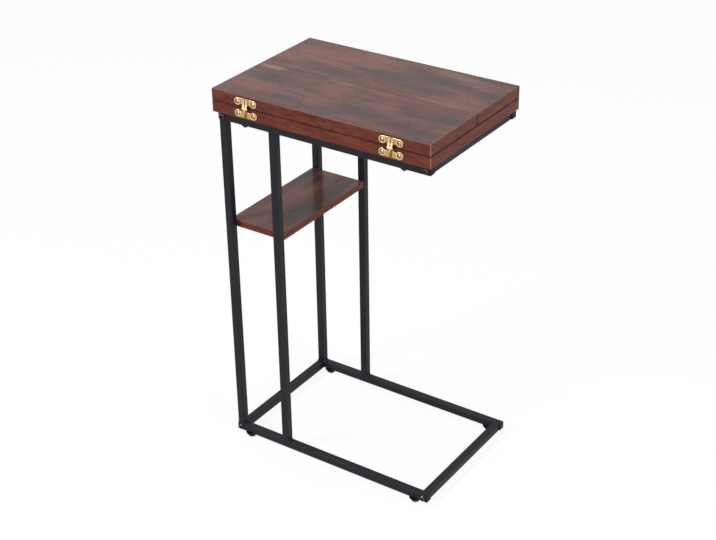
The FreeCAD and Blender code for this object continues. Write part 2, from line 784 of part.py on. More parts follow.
def knuckle_profile(sketch, reach):
    """The side view of an arm: a low rib on the plate from reach to the knee, then out and round the pin.

    In the sketch x is Y, with the front of the plate at minus its thickness, and y is Z.
    """
    inside = -(s.hinge_plate_thickness / 2)
    rib = -(s.hinge_plate_thickness + s.arm_rise)
    knee = -(s.hinge_plate_thickness + s.arm_knee_rise)
    back_z = s.hinge_root_gap + s.knuckle_diameter / 4
    axis = Vector(-s.hinge_axis_offset.value, 0, 0)
    radius = s.knuckle_diameter / 2

    far_inside = Vector(inside.value, reach.value, 0)
    far_outside = Vector(rib.value, reach.value, 0)
    bend = Vector(knee.value, s.arm_knee.value, 0)
    back = Vector(inside.value, back_z.value, 0)
    outer = touch_point(bend, axis, radius.value, 1)
    inner = touch_point(back, axis, radius.value, -1)
    angles = [math.degrees(math.atan2(p.y - axis.y, p.x - axis.x)) for p in (outer, inner)]

    end_line = sketch.addGeometry(Part.LineSegment(far_inside, far_outside))
    rib_line = sketch.addGeometry(Part.LineSegment(far_outside, bend))
    front_line = sketch.addGeometry(Part.LineSegment(bend, outer))
    barrel = arc(sketch, (axis.x, axis.y), radius, angles[0], angles[1] + 360)
    back_line = sketch.addGeometry(Part.LineSegment(inner, back))
    closing = sketch.addGeometry(Part.LineSegment(back, far_inside))

    pin_point(sketch, barrel, 3, -s.hinge_axis_offset, ZERO)
    pin_point(sketch, closing, 1, inside, back_z)
    pin_point(sketch, closing, 2, inside, reach)
    pin_point(sketch, end_line, 2, rib, reach)
    pin_point(sketch, rib_line, 2, knee, s.arm_knee)
    sketch.addConstraint(Sketcher.Constraint("Coincident", closing, 2, end_line, 1))
    sketch.addConstraint(Sketcher.Constraint("Coincident", end_line, 2, rib_line, 1))
    sketch.addConstraint(Sketcher.Constraint("Coincident", rib_line, 2, front_line, 1))
    sketch.addConstraint(Sketcher.Constraint("Coincident", back_line, 2, closing, 1))
    sketch.addConstraint(Sketcher.Constraint("Tangent", front_line, 2, barrel, 1))
    sketch.addConstraint(Sketcher.Constraint("Tangent", barrel, 2, back_line, 1))


def is_arm_rim(face):
    """Picks the front edges of the arms or the tongue: the rib, the slanting lines and the barrel's rims."""

    def chosen(edge):
        box = edge.BoundBox
        if box.XLength > 1e-4 or box.YMin > face.value - 1e-4:
            return False
        if isinstance(edge.Curve, Part.Circle):
            return True
        return box.YMax < face.value - 1e-4

    return chosen


def hinge_plate(name, spot, turn, twin):
    """A cast plate with two ringed screw holes and either twin arms or the tongue between them.

    The body's origin is on the joint plane at the board's edge, its own -Y points out of the edge and the
    plate lies on its own +Z side.
    """
    body = new_body(name, spot, turn)
    outline = new_sketch(body, "outline", "XZ_Plane")
    dumbbell(outline)
    pad(body, outline, s.hinge_plate_thickness)
    face = -s.hinge_plate_thickness
    round_edges(body, s.hinge_edge_radius, lambda edge: edge.BoundBox.YMax < face.value + 1e-4)
    z = at.board_middle_offset
    rings = new_sketch(body, "rings", "XZ_Plane", s.hinge_plate_thickness)
    for x in (-at.hinge_screw_x, at.hinge_screw_x):
        circle(rings, x, z, s.hinge_ring_diameter)
    pad(body, rings, s.hinge_ring_height)
    ring_face = face - s.hinge_ring_height
    round_edges(body, s.hinge_ring_radius, is_ring_at("y", ring_face, s.hinge_ring_diameter / 2))

    width = at.arms_width if twin else s.arm_slot - s.knuckle_side_clearance * 2
    side_view = new_sketch(body, "arms", "YZ_Plane")
    plate_edge = at.board_middle_offset + s.hinge_end_diameter / 2
    knuckle_profile(side_view, plate_edge - s.arm_top_inset if twin else s.tongue_reach)
    pad(body, side_view, width, symmetric=True)
    if twin:
        slot = new_sketch(body, "slot", "YZ_Plane")
        root = s.hinge_root_gap
        low = -s.knuckle_diameter
        front = low - s.hinge_axis_offset
        top = at.board_middle_offset + s.hinge_end_diameter
        polygon(slot, [(front, low), (ZERO, low), (ZERO, root), (face, root), (face, top), (front, top)])
        pocket(body, slot, s.arm_slot, symmetric=True)
    round_edges(body, s.arm_edge_radius, is_arm_rim(face))

    pin_bore = new_sketch(body, "pin_bore", "YZ_Plane")
    circle(pin_bore, -s.hinge_axis_offset, ZERO, s.hinge_pin_diameter + s.hinge_pin_clearance * 2)
    pocket(body, pin_bore, symmetric=True)

    front = s.hinge_plate_thickness + s.hinge_ring_height
    dishes = new_sketch(body, "dishes", "XZ_Plane", front)
    holes = new_sketch(body, "holes", "XZ_Plane", front)
    for x in (-at.hinge_screw_x, at.hinge_screw_x):
        circle(dishes, x, z, s.hinge_recess_diameter)
        circle(holes, x, z, s.hinge_screw_diameter + s.thread_clearance * 2)
    pocket(body, dishes, s.hinge_recess_depth + s.hinge_ring_height)
    pocket(body, holes)
    round_edges(body, s.hinge_ring_radius, is_ring_at("y", ring_face, s.hinge_recess_diameter / 2))
    countersink = (s.hinge_screw_head_diameter - s.hinge_screw_diameter) / 2
    rim = s.hinge_screw_diameter / 2 + s.thread_clearance
    bevel_edges(body, countersink, is_ring_at("y", face + s.hinge_recess_depth, rim))
    return body


def hinge_pin(name, spot):
    """A pin along X with peened ends just outside the two arms."""
    body = new_body(name, spot, ALONG_X)
    shank = s.hinge_pin_diameter / 2
    head = s.hinge_pin_head_diameter / 2
    inside = at.arms_width / 2 + s.hinge_pin_end_play
    outside = inside + s.hinge_pin_head_height
    revolve(
        body,
        [
            (ZERO, -outside),
            (head * 0.7, -outside),
            (head, -inside - s.hinge_pin_head_height * 0.4),
            (head, -inside),
            (shank, -inside),
            (shank, inside),
            (head, inside),
            (head, inside + s.hinge_pin_head_height * 0.4),
            (head * 0.7, outside),
            (ZERO, outside),
        ],
    )
    return body


def hinges():
    """Two hinges on the front edges and two on the back edges of the boards."""
    below = Rotation(Vector(0, 1, 0), 180)
    for end, sign, turn in (("front", -1, Rotation()), ("rear", 1, Rotation(Vector(0, 0, 1), 180))):
        edge_y = s.top_depth / 2 * sign
        axis_y = (s.top_depth / 2 + s.hinge_axis_offset) * sign
        for side, x in (("left", -at.hinge_x), ("right", at.hinge_x)):
            spot = (x, edge_y, at.joint_z)
            hinge_plate(f"{end}_{side}_hinge_leaf_plate", spot, turn, twin=True)
            hinge_plate(f"{end}_{side}_hinge_board_plate", spot, turn * below, twin=False)
            hinge_pin(f"{end}_{side}_hinge_pin", (x, axis_y, at.joint_z))


def hinge_screws():
    """Raised countersunk screws, four in each leaf and eight in the lower board."""
    body = new_body("hinge_screw_pattern", piece=False)
    shank = s.hinge_screw_diameter / 2
    head = s.hinge_screw_head_diameter / 2 - s.thread_clearance
    under = head - shank
    revolve(
        body,
        [
            (ZERO, -s.hinge_screw_length),
            (shank, -s.hinge_screw_length + s.hinge_screw_diameter),
            (shank, -under),
            (head, ZERO),
            (head * 0.6, s.hinge_screw_dome),
            (ZERO, s.hinge_screw_dome),
        ],
    )
    cross_recess(
        body,
        s.hinge_screw_dome,
        s.hinge_screw_recess_span,
        s.hinge_screw_recess_width,
        s.hinge_screw_recess_depth,
    )
    floor = s.top_depth / 2 + s.hinge_plate_thickness - s.hinge_recess_depth
    leaf_z = at.joint_z + at.board_middle_offset
    board_z = at.joint_z - at.board_middle_offset
    spots = {"front_leaf": [], "rear_leaf": [], "board": []}
    for hinge in (-at.hinge_x, at.hinge_x):
        for x in (hinge - at.hinge_screw_x, hinge + at.hinge_screw_x):
            spots["front_leaf"].append(((x, -floor, leaf_z), FACING_FRONT))
            spots["rear_leaf"].append(((x, floor, leaf_z), FACING_BACK))
            spots["board"].append(((x, -floor, board_z), FACING_FRONT))
            spots["board"].append(((x, floor, board_z), FACING_BACK))
    for owner, places in spots.items():
        group(f"{owner}_hinge_screws", body, places)


# ---------------------------------------------------------------- build, check, write


def check_document():
    """Stops if an object failed, a cut removed nothing, or a piece has no valid solid."""
    for thing in doc.Objects:
        if {"Invalid", "Error"} & set(thing.State):
            raise RuntimeError(f"{thing.Label} failed: {thing.State}")
        if thing.TypeId == "PartDesign::Pocket":
            removed = thing.BaseFeature.Shape.Volume - thing.Shape.Volume
            if removed < 1e-3:
                raise RuntimeError(f"{thing.Label} cuts nothing")
    labels = [piece.Label for piece in PIECES]
    if len(set(labels)) != len(labels):
        raise RuntimeError("two pieces share a name")
    for piece in PIECES:
        if piece.Shape.isNull() or not piece.Shape.isValid() or not piece.Shape.Solids:
            raise RuntimeError(f"{piece.Label} has no valid solid")


def write_pieces():
    os.makedirs(PARTS_FOLDER, exist_ok=True)
    for piece in PIECES:
        piece.Shape.exportStep(os.path.join(PARTS_FOLDER, f"{piece.Label}.step"))
    print(f"{len(PIECES)} pieces written")


def main():
    frame_rails()
    uprights()
    end_caps()
    feet()
    threaded_blocks()
    frame_bolts()
    top_boards()
    board_screws()
    shelf()
    shelf_screws()
    hinges()
    hinge_screws()
    doc.recompute()
    check_document()
    write_pieces()


main()
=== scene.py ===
import math

import bpy
import numpy as np
from bpy.props import FloatProperty, FloatVectorProperty, IntProperty, PointerProperty
from bpy.types import Operator, Panel, PropertyGroup
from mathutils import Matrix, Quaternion, Vector


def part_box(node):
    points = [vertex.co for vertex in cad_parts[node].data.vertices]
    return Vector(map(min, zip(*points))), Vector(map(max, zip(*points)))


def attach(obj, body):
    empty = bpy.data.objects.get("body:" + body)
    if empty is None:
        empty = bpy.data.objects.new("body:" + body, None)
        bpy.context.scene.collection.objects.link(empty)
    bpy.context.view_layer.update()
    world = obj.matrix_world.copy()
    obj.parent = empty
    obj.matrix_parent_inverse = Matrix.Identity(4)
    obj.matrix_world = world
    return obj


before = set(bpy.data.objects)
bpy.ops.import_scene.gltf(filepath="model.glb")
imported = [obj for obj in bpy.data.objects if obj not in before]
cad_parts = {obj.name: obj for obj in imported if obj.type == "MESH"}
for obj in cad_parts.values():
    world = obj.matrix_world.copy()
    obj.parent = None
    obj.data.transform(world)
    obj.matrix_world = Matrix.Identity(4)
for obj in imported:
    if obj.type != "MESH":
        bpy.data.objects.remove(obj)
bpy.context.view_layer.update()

bl_info = {
    "name": "Fold-out End Table",
    "version": (1, 0, 0),
    "blender": (4, 5, 0),
    "location": "3D View > Sidebar > End Table",
    "description": "Finishes, weld beads and studio for the fold-out end table",
    "category": "Object",
}

MM = 0.001

SIDES = ("left", "right")
ENDS = ("front", "rear")
LEAVES = ["front_leaf", "rear_leaf"]
TUBES = [f"{end}_{level}_rail" for end in ENDS for level in ("base", "top")]
TUBES += [f"{side}_{level}_cross_rail" for side in SIDES for level in ("base", "top")]
TUBES += [f"{end}_{row}_upright" for end in ENDS for row in ("outer", "inner")]
FEET = [f"{end}_{side}_foot" for end in ENDS for side in SIDES]
HINGES = [f"{end}_{side}_hinge" for end in ENDS for side in SIDES]
LEAF_PLATES = [f"{hinge}_leaf_plate" for hinge in HINGES]
BOARD_PLATES = [f"{hinge}_board_plate" for hinge in HINGES]
HINGE_PINS = [f"{hinge}_pin" for hinge in HINGES]
HINGE_SCREWS = ["front_leaf_hinge_screws", "rear_leaf_hinge_screws", "board_hinge_screws"]


# ---------------- settings


def colour(name, description, default):
    return FloatVectorProperty(
        name=name, description=description, default=default, subtype="COLOR", size=3, min=0, max=1
    )


def length(name, description, default):
    return FloatProperty(
        name=name, description=description, default=default, unit="LENGTH", subtype="DISTANCE", min=0
    )


def share(name, description, default):
    return FloatProperty(
        name=name, description=description, default=default, subtype="FACTOR", min=0, max=1
    )


def angle(name, description, degrees):
    turn = math.radians(degrees)
    return FloatProperty(
        name=name, description=description, default=turn, unit="ROTATION", subtype="ANGLE"
    )


def power(name, description, watts):
    return FloatProperty(name=name, description=description, default=watts, unit="POWER", min=0)


class BoardFinish(PropertyGroup):
    """Printed laminate of the boards."""

    # Besides the grain, the dark grain colour paints the shade and reflection of the rear outer upright on
    # the shelf.
    dark: colour("Dark grain", "Darkest streaks on the wide faces", (0.032, 0.014, 0.013))
    ground: colour("Ground", "Ground of the print on the wide faces", (0.086, 0.035, 0.030))
    light: colour("Light grain", "Lightest streaks on the wide faces", (0.150, 0.073, 0.058))
    slate: colour("Slate patch", "Blue-grey weathered patches", (0.040, 0.031, 0.037))
    tan: colour("Tan patch", "Worn tan patches", (0.225, 0.140, 0.095))
    umber: colour("Umber patch", "Soft brown patches", (0.165, 0.088, 0.052))
    rust: colour("Rust patch", "Warm red patches", (0.165, 0.060, 0.050))
    band: colour("Edge band", "Ground of the print on the edge bands", (0.110, 0.020, 0.010))
    # The dark fleck colour is also the colour of the painted shade in the joints between the boards.
    band_fleck_and_joint_shade: colour("Dark fleck", "Short dark flecks on the edge bands", (0.028, 0.008, 0.006))
    band_warm: colour("Warm stain", "Orange-brown stains on the edge bands", (0.146, 0.042, 0.016))
    # Pale edge colour, with the level and upright paleness and the edge reach below: a painted highlight
    # along the eased edges, partly real rubbing.
    pale_edge: colour("Worn edge", "Paler laminate along the eased edges", (0.275, 0.132, 0.104))
    patch_strength: share("Patch strength", "How far a patch covers the print", 0.85)
    level_highlight_and_wear: share("Level wear", "Paleness of the upper edges", 0.20)
    # Joint shade: the darkness of the painted shade along the joints between the boards.
    joint_shade: share("Joint grime", "Darkness of the edges along the joint between the boards", 0.65)
    upright_highlight_and_wear: share("Upright wear", "Paleness of the short upright edges", 0.95)
    edge_reach: length("Edge wear reach", "Width of the paler line along an edge", 2.0 * MM)
    pore_depth: length("Pore depth", "Depth of the embossed grain", 0.05 * MM)
    roughness: share("Roughness", "Roughness of the printed paper under its clear layer", 0.42)
    reflectance: share("Reflectance", "Specular level of the printed paper", 0.03)
    clear_layer: share("Clear layer", "Weight of the clear melamine layer on the wide faces", 0.42)
    clear_edge: share("Clear edge", "Weight of the clear layer on the edge bands", 0.30)
    clear_roughness: share("Clear roughness", "Roughness of the clear layer", 0.17)


class CoatFinish(PropertyGroup):
    """Powder coat of the tubes."""

    coat: colour("Coat", "Satin black powder coat", (0.0098, 0.0090, 0.0135))
    rubbed: colour("Rubbed coat", "Coat where it is rubbed along the corners", (0.040, 0.040, 0.045))
    dust: colour("Dusty coat", "Coat with a trace of dust on what looks up", (0.022, 0.0215, 0.0225))
    rub: share("Rub", "How far the corners are rubbed", 0.45)
    peel_size: length("Peel size", "Distance between the bumps of the orange peel", 1.1 * MM)
    peel_depth: length("Peel depth", "Height of the orange peel", 0.02 * MM)
    roughness: share("Roughness", "Roughness of the coat", 0.48)
    reflectance: share("Reflectance", "Specular level of the coat", 0.15)


class BeadShape(PropertyGroup):
    """Weld beads in the inner corners of the side frames."""

    leg: length("Leg", "Reach of a bead along each tube", 2.6 * MM)
    bulge: length("Bulge", "Height of the bead's face above its chord", 0.5 * MM)
    ripple: length("Ripple pitch", "Distance between two ripples", 1.5 * MM)
    ripple_height: length("Ripple height", "Height of a ripple", 0.14 * MM)
    sink: length("Sink", "Depth of the bead's back inside the tubes", 0.2 * MM)
    stations: IntProperty(name="Stations", description="Outlines along a bead", default=49, min=9)
    face_points: IntProperty(
        name="Face points", description="Points across a bead's face", default=11, min=5
    )


class PlasticFinish(PropertyGroup):
    """Moulded end caps and feet."""

    plastic: colour("Plastic", "Black moulded plastic", (0.0065, 0.0065, 0.0075))
    scuff: colour("Scuff", "Scuffed plastic near the floor", (0.030, 0.029, 0.028))
    texture_size: length("Texture size", "Grain of the mould", 0.5 * MM)
    texture_depth: length("Texture depth", "Depth of the mould's grain", 0.015 * MM)
    scuff_height: length("Scuff height", "Height of the scuffed band above the floor", 2.5 * MM)
    roughness: share("Roughness", "Roughness of the plastic", 0.46)
    reflectance: share("Reflectance", "Specular level of the plastic", 0.10)


class FastenerFinish(PropertyGroup):
    """Bolts, screws and the threaded blocks."""

    bolt: colour("Bolt", "Black nickel of the frame bolts", (0.055, 0.054, 0.056))
    screw: colour("Screw", "Black zinc of the wood screws", (0.040, 0.040, 0.045))
    steel: colour("Steel", "Plain steel of the threaded blocks", (0.420, 0.415, 0.410))
    turning_pitch: length("Turning pitch", "Distance between the fine turning marks", 0.35 * MM)
    turning_depth: length("Turning depth", "Depth of the turning marks", 0.004 * MM)
    roughness: share("Roughness", "Roughness of the plated steel", 0.30)


class BrassFinish(PropertyGroup):
    """Cast and lacquered brass of the hinges."""

    brass: colour("Brass", "Flat faces of the plates", (0.530, 0.345, 0.130))
    # In the dishes this colour is the brass's own patina; beside the arms and the tongue it is painted
    # shade.
    tarnish_and_shade: colour("Tarnish", "Unpolished brass in the recesses", (0.150, 0.086, 0.030))
    # The pale brass on rings, rims, arms, pins and screw heads is polish and a painted highlight.
    pale: colour("Pale brass", "Rings, rims and arms rubbed bright", (0.820, 0.610, 0.390))
    plate_thickness: length("Plate thickness", "Face of a plate from the board's edge", 1.8 * MM)
    dish_depth: length("Dish depth", "Dish round a screw, below the plate's face", 0.5 * MM)
    ring_height: length("Ring height", "Ring round a screw, above the plate's face", 0.5 * MM)
    # The arms' and the tongue's reach set the painted shade beside the knuckle.
    arms_reach: length("Arms' reach", "Half the arms' width, with the grime beside them", 5.2 * MM)
    tongue_reach: length("Tongue's reach", "Half the tongue's width, with the grime beside it", 3.0 * MM)
    cast_size: length("Cast grain", "Size of the cast skin's bumps", 1.6 * MM)
    cast_depth: length("Cast depth", "Height of the cast skin's bumps", 0.09 * MM)
    roughness: share("Roughness", "Roughness of the lacquered brass", 0.24)


class StudioSetup(PropertyGroup):
    """Camera, lamps, floor and background."""

    azimuth: angle("Azimuth", "Camera to the right of the front", 34.487)
    elevation: angle("Elevation", "Camera above the horizon", 29.223)
    roll: angle("Roll", "Turn of the camera about its own axis", -0.899)
    distance: length("Distance", "Camera to the point that it looks at", 2.4770)
    target: FloatVectorProperty(
        name="Target",
        description="Point that the camera looks at",
        default=(-0.0129, -0.0089, 0.3250),
        unit="LENGTH",
        subtype="TRANSLATION",
    )
    lens: FloatProperty(
        name="Lens", description="Focal length of the camera", default=75.22, unit="CAMERA", min=1
    )
    key_power: power("Key", "Soft box at the left", 80)
    fill_power: power("Fill", "Soft box at the right", 44)
    top_power: power("Top", "Soft box overhead", 31)
    ambient: share("Ambient", "Strength of the room's own light on what isn't glossy", 0.37)
    floor_grey: share("Floor", "Paleness of the floor", 0.88)
    shadow: share("Shadow", "How much of its own shading the floor shows", 0.09)


class EndTableLooks(PropertyGroup):
    """All the finishes and the studio."""

    boards: PointerProperty(type=BoardFinish)
    coat: PointerProperty(type=CoatFinish)
    beads: PointerProperty(type=BeadShape)
    plastic: PointerProperty(type=PlasticFinish)
    fasteners: PointerProperty(type=FastenerFinish)
    brass: PointerProperty(type=BrassFinish)
    studio: PointerProperty(type=StudioSetup)


# ---------------- nodes


class Net:
    """Adds nodes to one node tree, from left to right, and joins their sockets."""

    SPACING = 190

    def __init__(self, tree):
        self.tree = tree

    def feed(self, socket, value):
        """Joins value to the socket if it is a socket too, and sets it as the socket's own value if not."""
        if isinstance(value, bpy.types.NodeSocket):
            self.tree.links.new(value, socket)
        elif socket.type == "RGBA":
            socket.default_value = (*tuple(value)[:3], 1)
        else:
            socket.default_value = value

    def feed_all(self, node, values):
        """Feeds the node's inputs of those names or numbers."""
        for key, value in values.items():
            self.feed(node.inputs[key], value)

    def add(self, kind, values=(), **settings):
        """A new node of that kind and with those settings, its inputs fed with the values."""
        node = self.tree.nodes.new(kind)
        node.location = (len(self.tree.nodes) * self.SPACING, 0)
        for name, value in settings.items():
            setattr(node, name, value)
        self.feed_all(node, dict(values))
        return node

    def math(self, operation, *values):
        return self.add("ShaderNodeMath", enumerate(values), operation=operation).outputs["Value"]

    def times(self, product, *factors):
        """The product of all the values."""
        for factor in factors:
            product = self.math("MULTIPLY", product, factor)
        return product

    def vector(self, operation, *values):
        """Vector mathematics; the result is a number where the operation gives one."""
        node = self.add("ShaderNodeVectorMath", enumerate(values), operation=operation)
        return node.outputs["Value" if operation == "LENGTH" else "Vector"]

    def split(self, vector):
        return tuple(self.add("ShaderNodeSeparateXYZ", {0: vector}).outputs)

    def join(self, *parts):
        return self.add("ShaderNodeCombineXYZ", enumerate(parts)).outputs[0]

    def mix(self, factor, a, b):
        """Mixes two colours."""
        return self.add("ShaderNodeMix", {0: factor, 6: a, 7: b}, data_type="RGBA").outputs[2]

    def mix_vector(self, factor, a, b):
        return self.add("ShaderNodeMix", {0: factor, 4: a, 5: b}, data_type="VECTOR").outputs[1]

    def step(self, value, low, high, to_low=0.0, to_high=1.0):
        """A smooth step of value from to_low at low to to_high at high."""
        values = {"Value": value, "From Min": low, "From Max": high, "To Min": to_low, "To Max": to_high}
        node = self.add("ShaderNodeMapRange", values, interpolation_type="SMOOTHSTEP")
        return node.outputs["Result"]

    def noise(self, place, scale, detail, roughness, distortion=0.0):
        values = {
            "Vector": place,
            "Scale": scale,
            "Detail": detail,
            "Roughness": roughness,
            "Distortion": distortion,
        }
        return self.add("ShaderNodeTexNoise", values, noise_dimensions="3D").outputs[0]

    def bump(self, height, distance, strength=1.0):
        values = {"Strength": strength, "Distance": distance, "Height": height}
        return self.add("ShaderNodeBump", values).outputs["Normal"]

    def use(self, group, values):
        """Places a node group, feeds its named inputs and returns its outputs."""
        return self.add("ShaderNodeGroup", values, node_tree=group()).outputs


def node_group(name, inputs, outputs):
    """Turns a function that joins a group's nodes into one that gives the group, which is made once.

    inputs and outputs hold the kind of each socket by its name. The function gets the group's net and its
    inputs, and returns what feeds its outputs.
    """

    def turn(build):
        def group():
            tree = bpy.data.node_groups.get(name)
            if tree:
                return tree
            tree = bpy.data.node_groups.new(name, "ShaderNodeTree")
            for side, kinds in (("INPUT", inputs), ("OUTPUT", outputs)):
                for title, kind in kinds.items():
                    tree.interface.new_socket(title, in_out=side, socket_type=f"NodeSocket{kind}")
            net = Net(tree)
            net.add("NodeGroupOutput", build(net, net.add("NodeGroupInput").outputs))
            return tree

        return group

    return turn


# Middle of what a noise gives.
NOISE_MIDDLE = 0.5

# A face is square to an axis if its normal's share along that axis is above this.
SQUARE_ON = 0.707
# Third coordinate of the print on the long and the short edge bands, and per metre of a wide face's height.
LONG_BAND_LAYER = 0.31
SHORT_BAND_LAYER = 0.67
WIDE_FACE_LAYERS = 3.0


@node_group(
    "face place",
    {"Position": "Vector", "Normal": "Vector"},
    {"Place": "Vector", "Wide face": "Float", "Faces up": "Float"},
)
def face_place(net, given):
    """Where a point lies in the print of a rectangular board.

    The face is told by its normal. On the wide faces the print runs along X and across Y, on the front and
    back edges along X and across Z, and on the left and right edges along Y and across Z. The third
    coordinate differs between the kinds of face, so that each shows another part of the print.
    """
    side_facing, _, flat_facing = net.split(net.vector("ABSOLUTE", given["Normal"]))
    _, _, up_facing = net.split(given["Normal"])
    x, y, z = net.split(given["Position"])
    is_side = net.math("GREATER_THAN", side_facing, SQUARE_ON)
    is_flat = net.math("GREATER_THAN", flat_facing, SQUARE_ON)
    long_band = net.join(x, z, LONG_BAND_LAYER)
    short_band = net.join(y, z, SHORT_BAND_LAYER)
    wide = net.join(x, y, net.times(z, WIDE_FACE_LAYERS))
    place = net.mix_vector(is_side, net.mix_vector(is_flat, long_band, wide), short_band)
    is_top = net.math("GREATER_THAN", up_facing, SQUARE_ON)
    return {"Place": place, "Wide face": is_flat, "Faces up": is_top}


def grain_noises(net, place, rows, layers):
    """The noise of each row, by its name, stretched along the grain.

    A row holds the bumps a metre along and across the grain, the detail, the roughness and the distortion.
    layers is how fast the noise changes with the third coordinate of the place.
    """
    noises = {}
    for name, (along, across, *settings) in rows.items():
        stretched = net.vector("MULTIPLY", place, (along, across, layers))
        noises[name] = net.noise(stretched, 1.0, *settings)
    return noises


def blend_of(net, parts, weights):
    """The sum of the parts, each times its weight."""
    total = 0.0
    for name, weight in weights.items():
        total = net.math("MULTIPLY_ADD", parts[name], weight, total)
    return total


RUSTIC_NOISES = {
    "clouds": (5.0, 22.0, 3.0, 0.55, 0.6),
    "streaks": (11.0, 95.0, 4.0, 0.60, 0.5),
    "flecks": (95.0, 330.0, 2.0, 0.60, 0.8),
    "lines": (6.5, 560.0, 3.0, 0.60, 0.2),
    "pores": (140.0, 1500.0, 2.0, 0.50, 0.0),
    "ring bends": (3.0, 8.0, 2.0, 0.50, 0.5),
    "broad rim": (10.0, 50.0, 2.0, 0.50, 0.3),
    "streaky rim": (19.0, 290.0, 3.0, 0.60, 0.3),
}
RUSTIC_LAYERS = 11.0
TONE_WEIGHTS = {
    "clouds": 0.38, "streaks": 0.22, "lines": 0.14, "flecks": 0.14, "pores": 0.08, "rings": 0.04
}
TONE_RANGE = (0.34, 0.66)
RUSTIC_FLECK_RANGE = (0.44, 0.34)
# Year rings, in radians: per metre across the board, and how far the slow noise shifts them.
RING_RATE = 820.0
RING_BEND = 70.0
# Height of the streaks in the embossing, where that of the pores is 1.
STREAK_RELIEF = 0.5
# How far the broad and the streaky noise move the rim of a patch.
BROAD_STRAY = 1.2
STREAKY_STRAY = 1.5


@node_group(
    "rustic print",
    {"Place": "Vector"},
    {"Tone": "Float", "Fleck": "Float", "Pores": "Float", "Stray": "Float"},
)
def rustic_print(net, given):
    """Printed wood grain: soft clouds, streaks, fine lines, short dark flecks, pores and faint year rings.

    All but the rings are stretched noises. The rings are a sine of the way across the board, which a slow
    noise bends. Tone is the weighted sum of the six, from 0, dark, to 1, light. Pores is the height of the
    embossing. Stray is how far the rim of a patch strays here, in its half sizes: a broad noise and a
    streaky one.
    """
    parts = grain_noises(net, given["Place"], RUSTIC_NOISES, RUSTIC_LAYERS)
    _, across, _ = net.split(given["Place"])
    bend = net.times(parts["ring bends"], RING_BEND)
    wave = net.math("SINE", net.math("MULTIPLY_ADD", across, RING_RATE, bend))
    parts["rings"] = net.math("MULTIPLY_ADD", wave, 0.5, 0.5)
    broad = net.math("SUBTRACT", parts["broad rim"], NOISE_MIDDLE)
    streaky = net.math("SUBTRACT", parts["streaky rim"], NOISE_MIDDLE)
    return {
        "Tone": net.step(blend_of(net, parts, TONE_WEIGHTS), *TONE_RANGE),
        "Fleck": net.step(parts["flecks"], *RUSTIC_FLECK_RANGE),
        "Pores": net.math("ADD", parts["pores"], net.times(parts["streaks"], STREAK_RELIEF)),
        "Stray": net.math("MULTIPLY_ADD", streaky, STREAKY_STRAY, net.times(broad, BROAD_STRAY)),
    }


BAND_NOISES = {
    "flecks": (52.0, 210.0, 3.0, 0.62, 0.9),
    "grain": (110.0, 1100.0, 2.0, 0.55, 0.0),
    "stains": (15.0, 60.0, 2.0, 0.50, 0.4),
}
BAND_LAYERS = 17.0
BAND_WEIGHTS = {"flecks": 0.65, "grain": 0.35}
BAND_FLECK_RANGE = (0.52, 0.38)
BAND_STAIN_RANGE = (0.48, 0.66)


@node_group("band print", {"Place": "Vector"}, {"Fleck": "Float", "Stain": "Float"})
def band_print(net, given):
    """Print of the edge bands: short dark flecks, 8 mm by 3 mm, over fine grain, and wide warm stains."""
    parts = grain_noises(net, given["Place"], BAND_NOISES, BAND_LAYERS)
    fleck = net.step(blend_of(net, parts, BAND_WEIGHTS), *BAND_FLECK_RANGE)
    return {"Fleck": fleck, "Stain": net.step(parts["stains"], *BAND_STAIN_RANGE)}


# Reach at which a patch ends and at which it is full, in its half sizes.
PATCH_RIM = (1.45, 0.35)


@node_group(
    "print patch",
    {"Place": "Vector", "Centre": "Vector", "Half size": "Vector", "Stray": "Float"},
    {"Mask": "Float"},
)
def print_patch(net, given):
    """A long soft-edged patch of the print: an ellipse whose rim strays in and out along the grain."""
    offset = net.vector("SUBTRACT", given["Place"], given["Centre"])
    x, y, _ = net.split(net.vector("DIVIDE", offset, given["Half size"]))
    reach = net.vector("LENGTH", net.join(x, y, 0.0))
    return {"Mask": net.step(net.math("ADD", reach, given["Stray"]), *PATCH_RIM)}


# Noise that breaks up the edges' reach: bumps a metre, detail and roughness.
EDGE_BREAKS = (60.0, 3.0, 0.6)


@node_group(
    "box edge",
    {"Position": "Vector", "Centre": "Vector", "Half size": "Vector", "Reach": "Float"},
    {"Upright": "Float", "Upper": "Float", "Lower": "Float"},
)
def box_edge(net, given):
    """Masks along the edges of a box: Upright, Upper and Lower, for four edges each.

    With a and b the distances from the sides across X and Y, and c the depth below the upper face, a point
    is max(a, b) from the upright edge and max(c, min(a, b)) from the upper edge; for the lower edge c is
    the height above the lower face. Each mask falls from 1 on the edge to 0 at the reach, and a noise
    breaks it.
    """
    offset = net.vector("SUBTRACT", given["Position"], given["Centre"])
    inside = net.vector("SUBTRACT", given["Half size"], net.vector("ABSOLUTE", offset))
    a, b, _ = net.split(net.vector("ABSOLUTE", inside))
    _, _, depth = net.split(net.vector("SUBTRACT", given["Half size"], offset))
    _, _, height = net.split(net.vector("ADD", given["Half size"], offset))
    broken = net.math("ADD", net.noise(given["Position"], *EDGE_BREAKS), 1.0 - NOISE_MIDDLE)
    reach = net.times(given["Reach"], broken)
    to_side = net.math("MINIMUM", a, b)
    ways = {"Upright": (a, b), "Upper": (depth, to_side), "Lower": (height, to_side)}
    return {name: net.step(net.math("MAXIMUM", *way), reach, 0.0) for name, way in ways.items()}


# Largest share of the normal along an axis where a corner starts, and where it is full.
CORNER_RANGE = (0.97, 0.80)


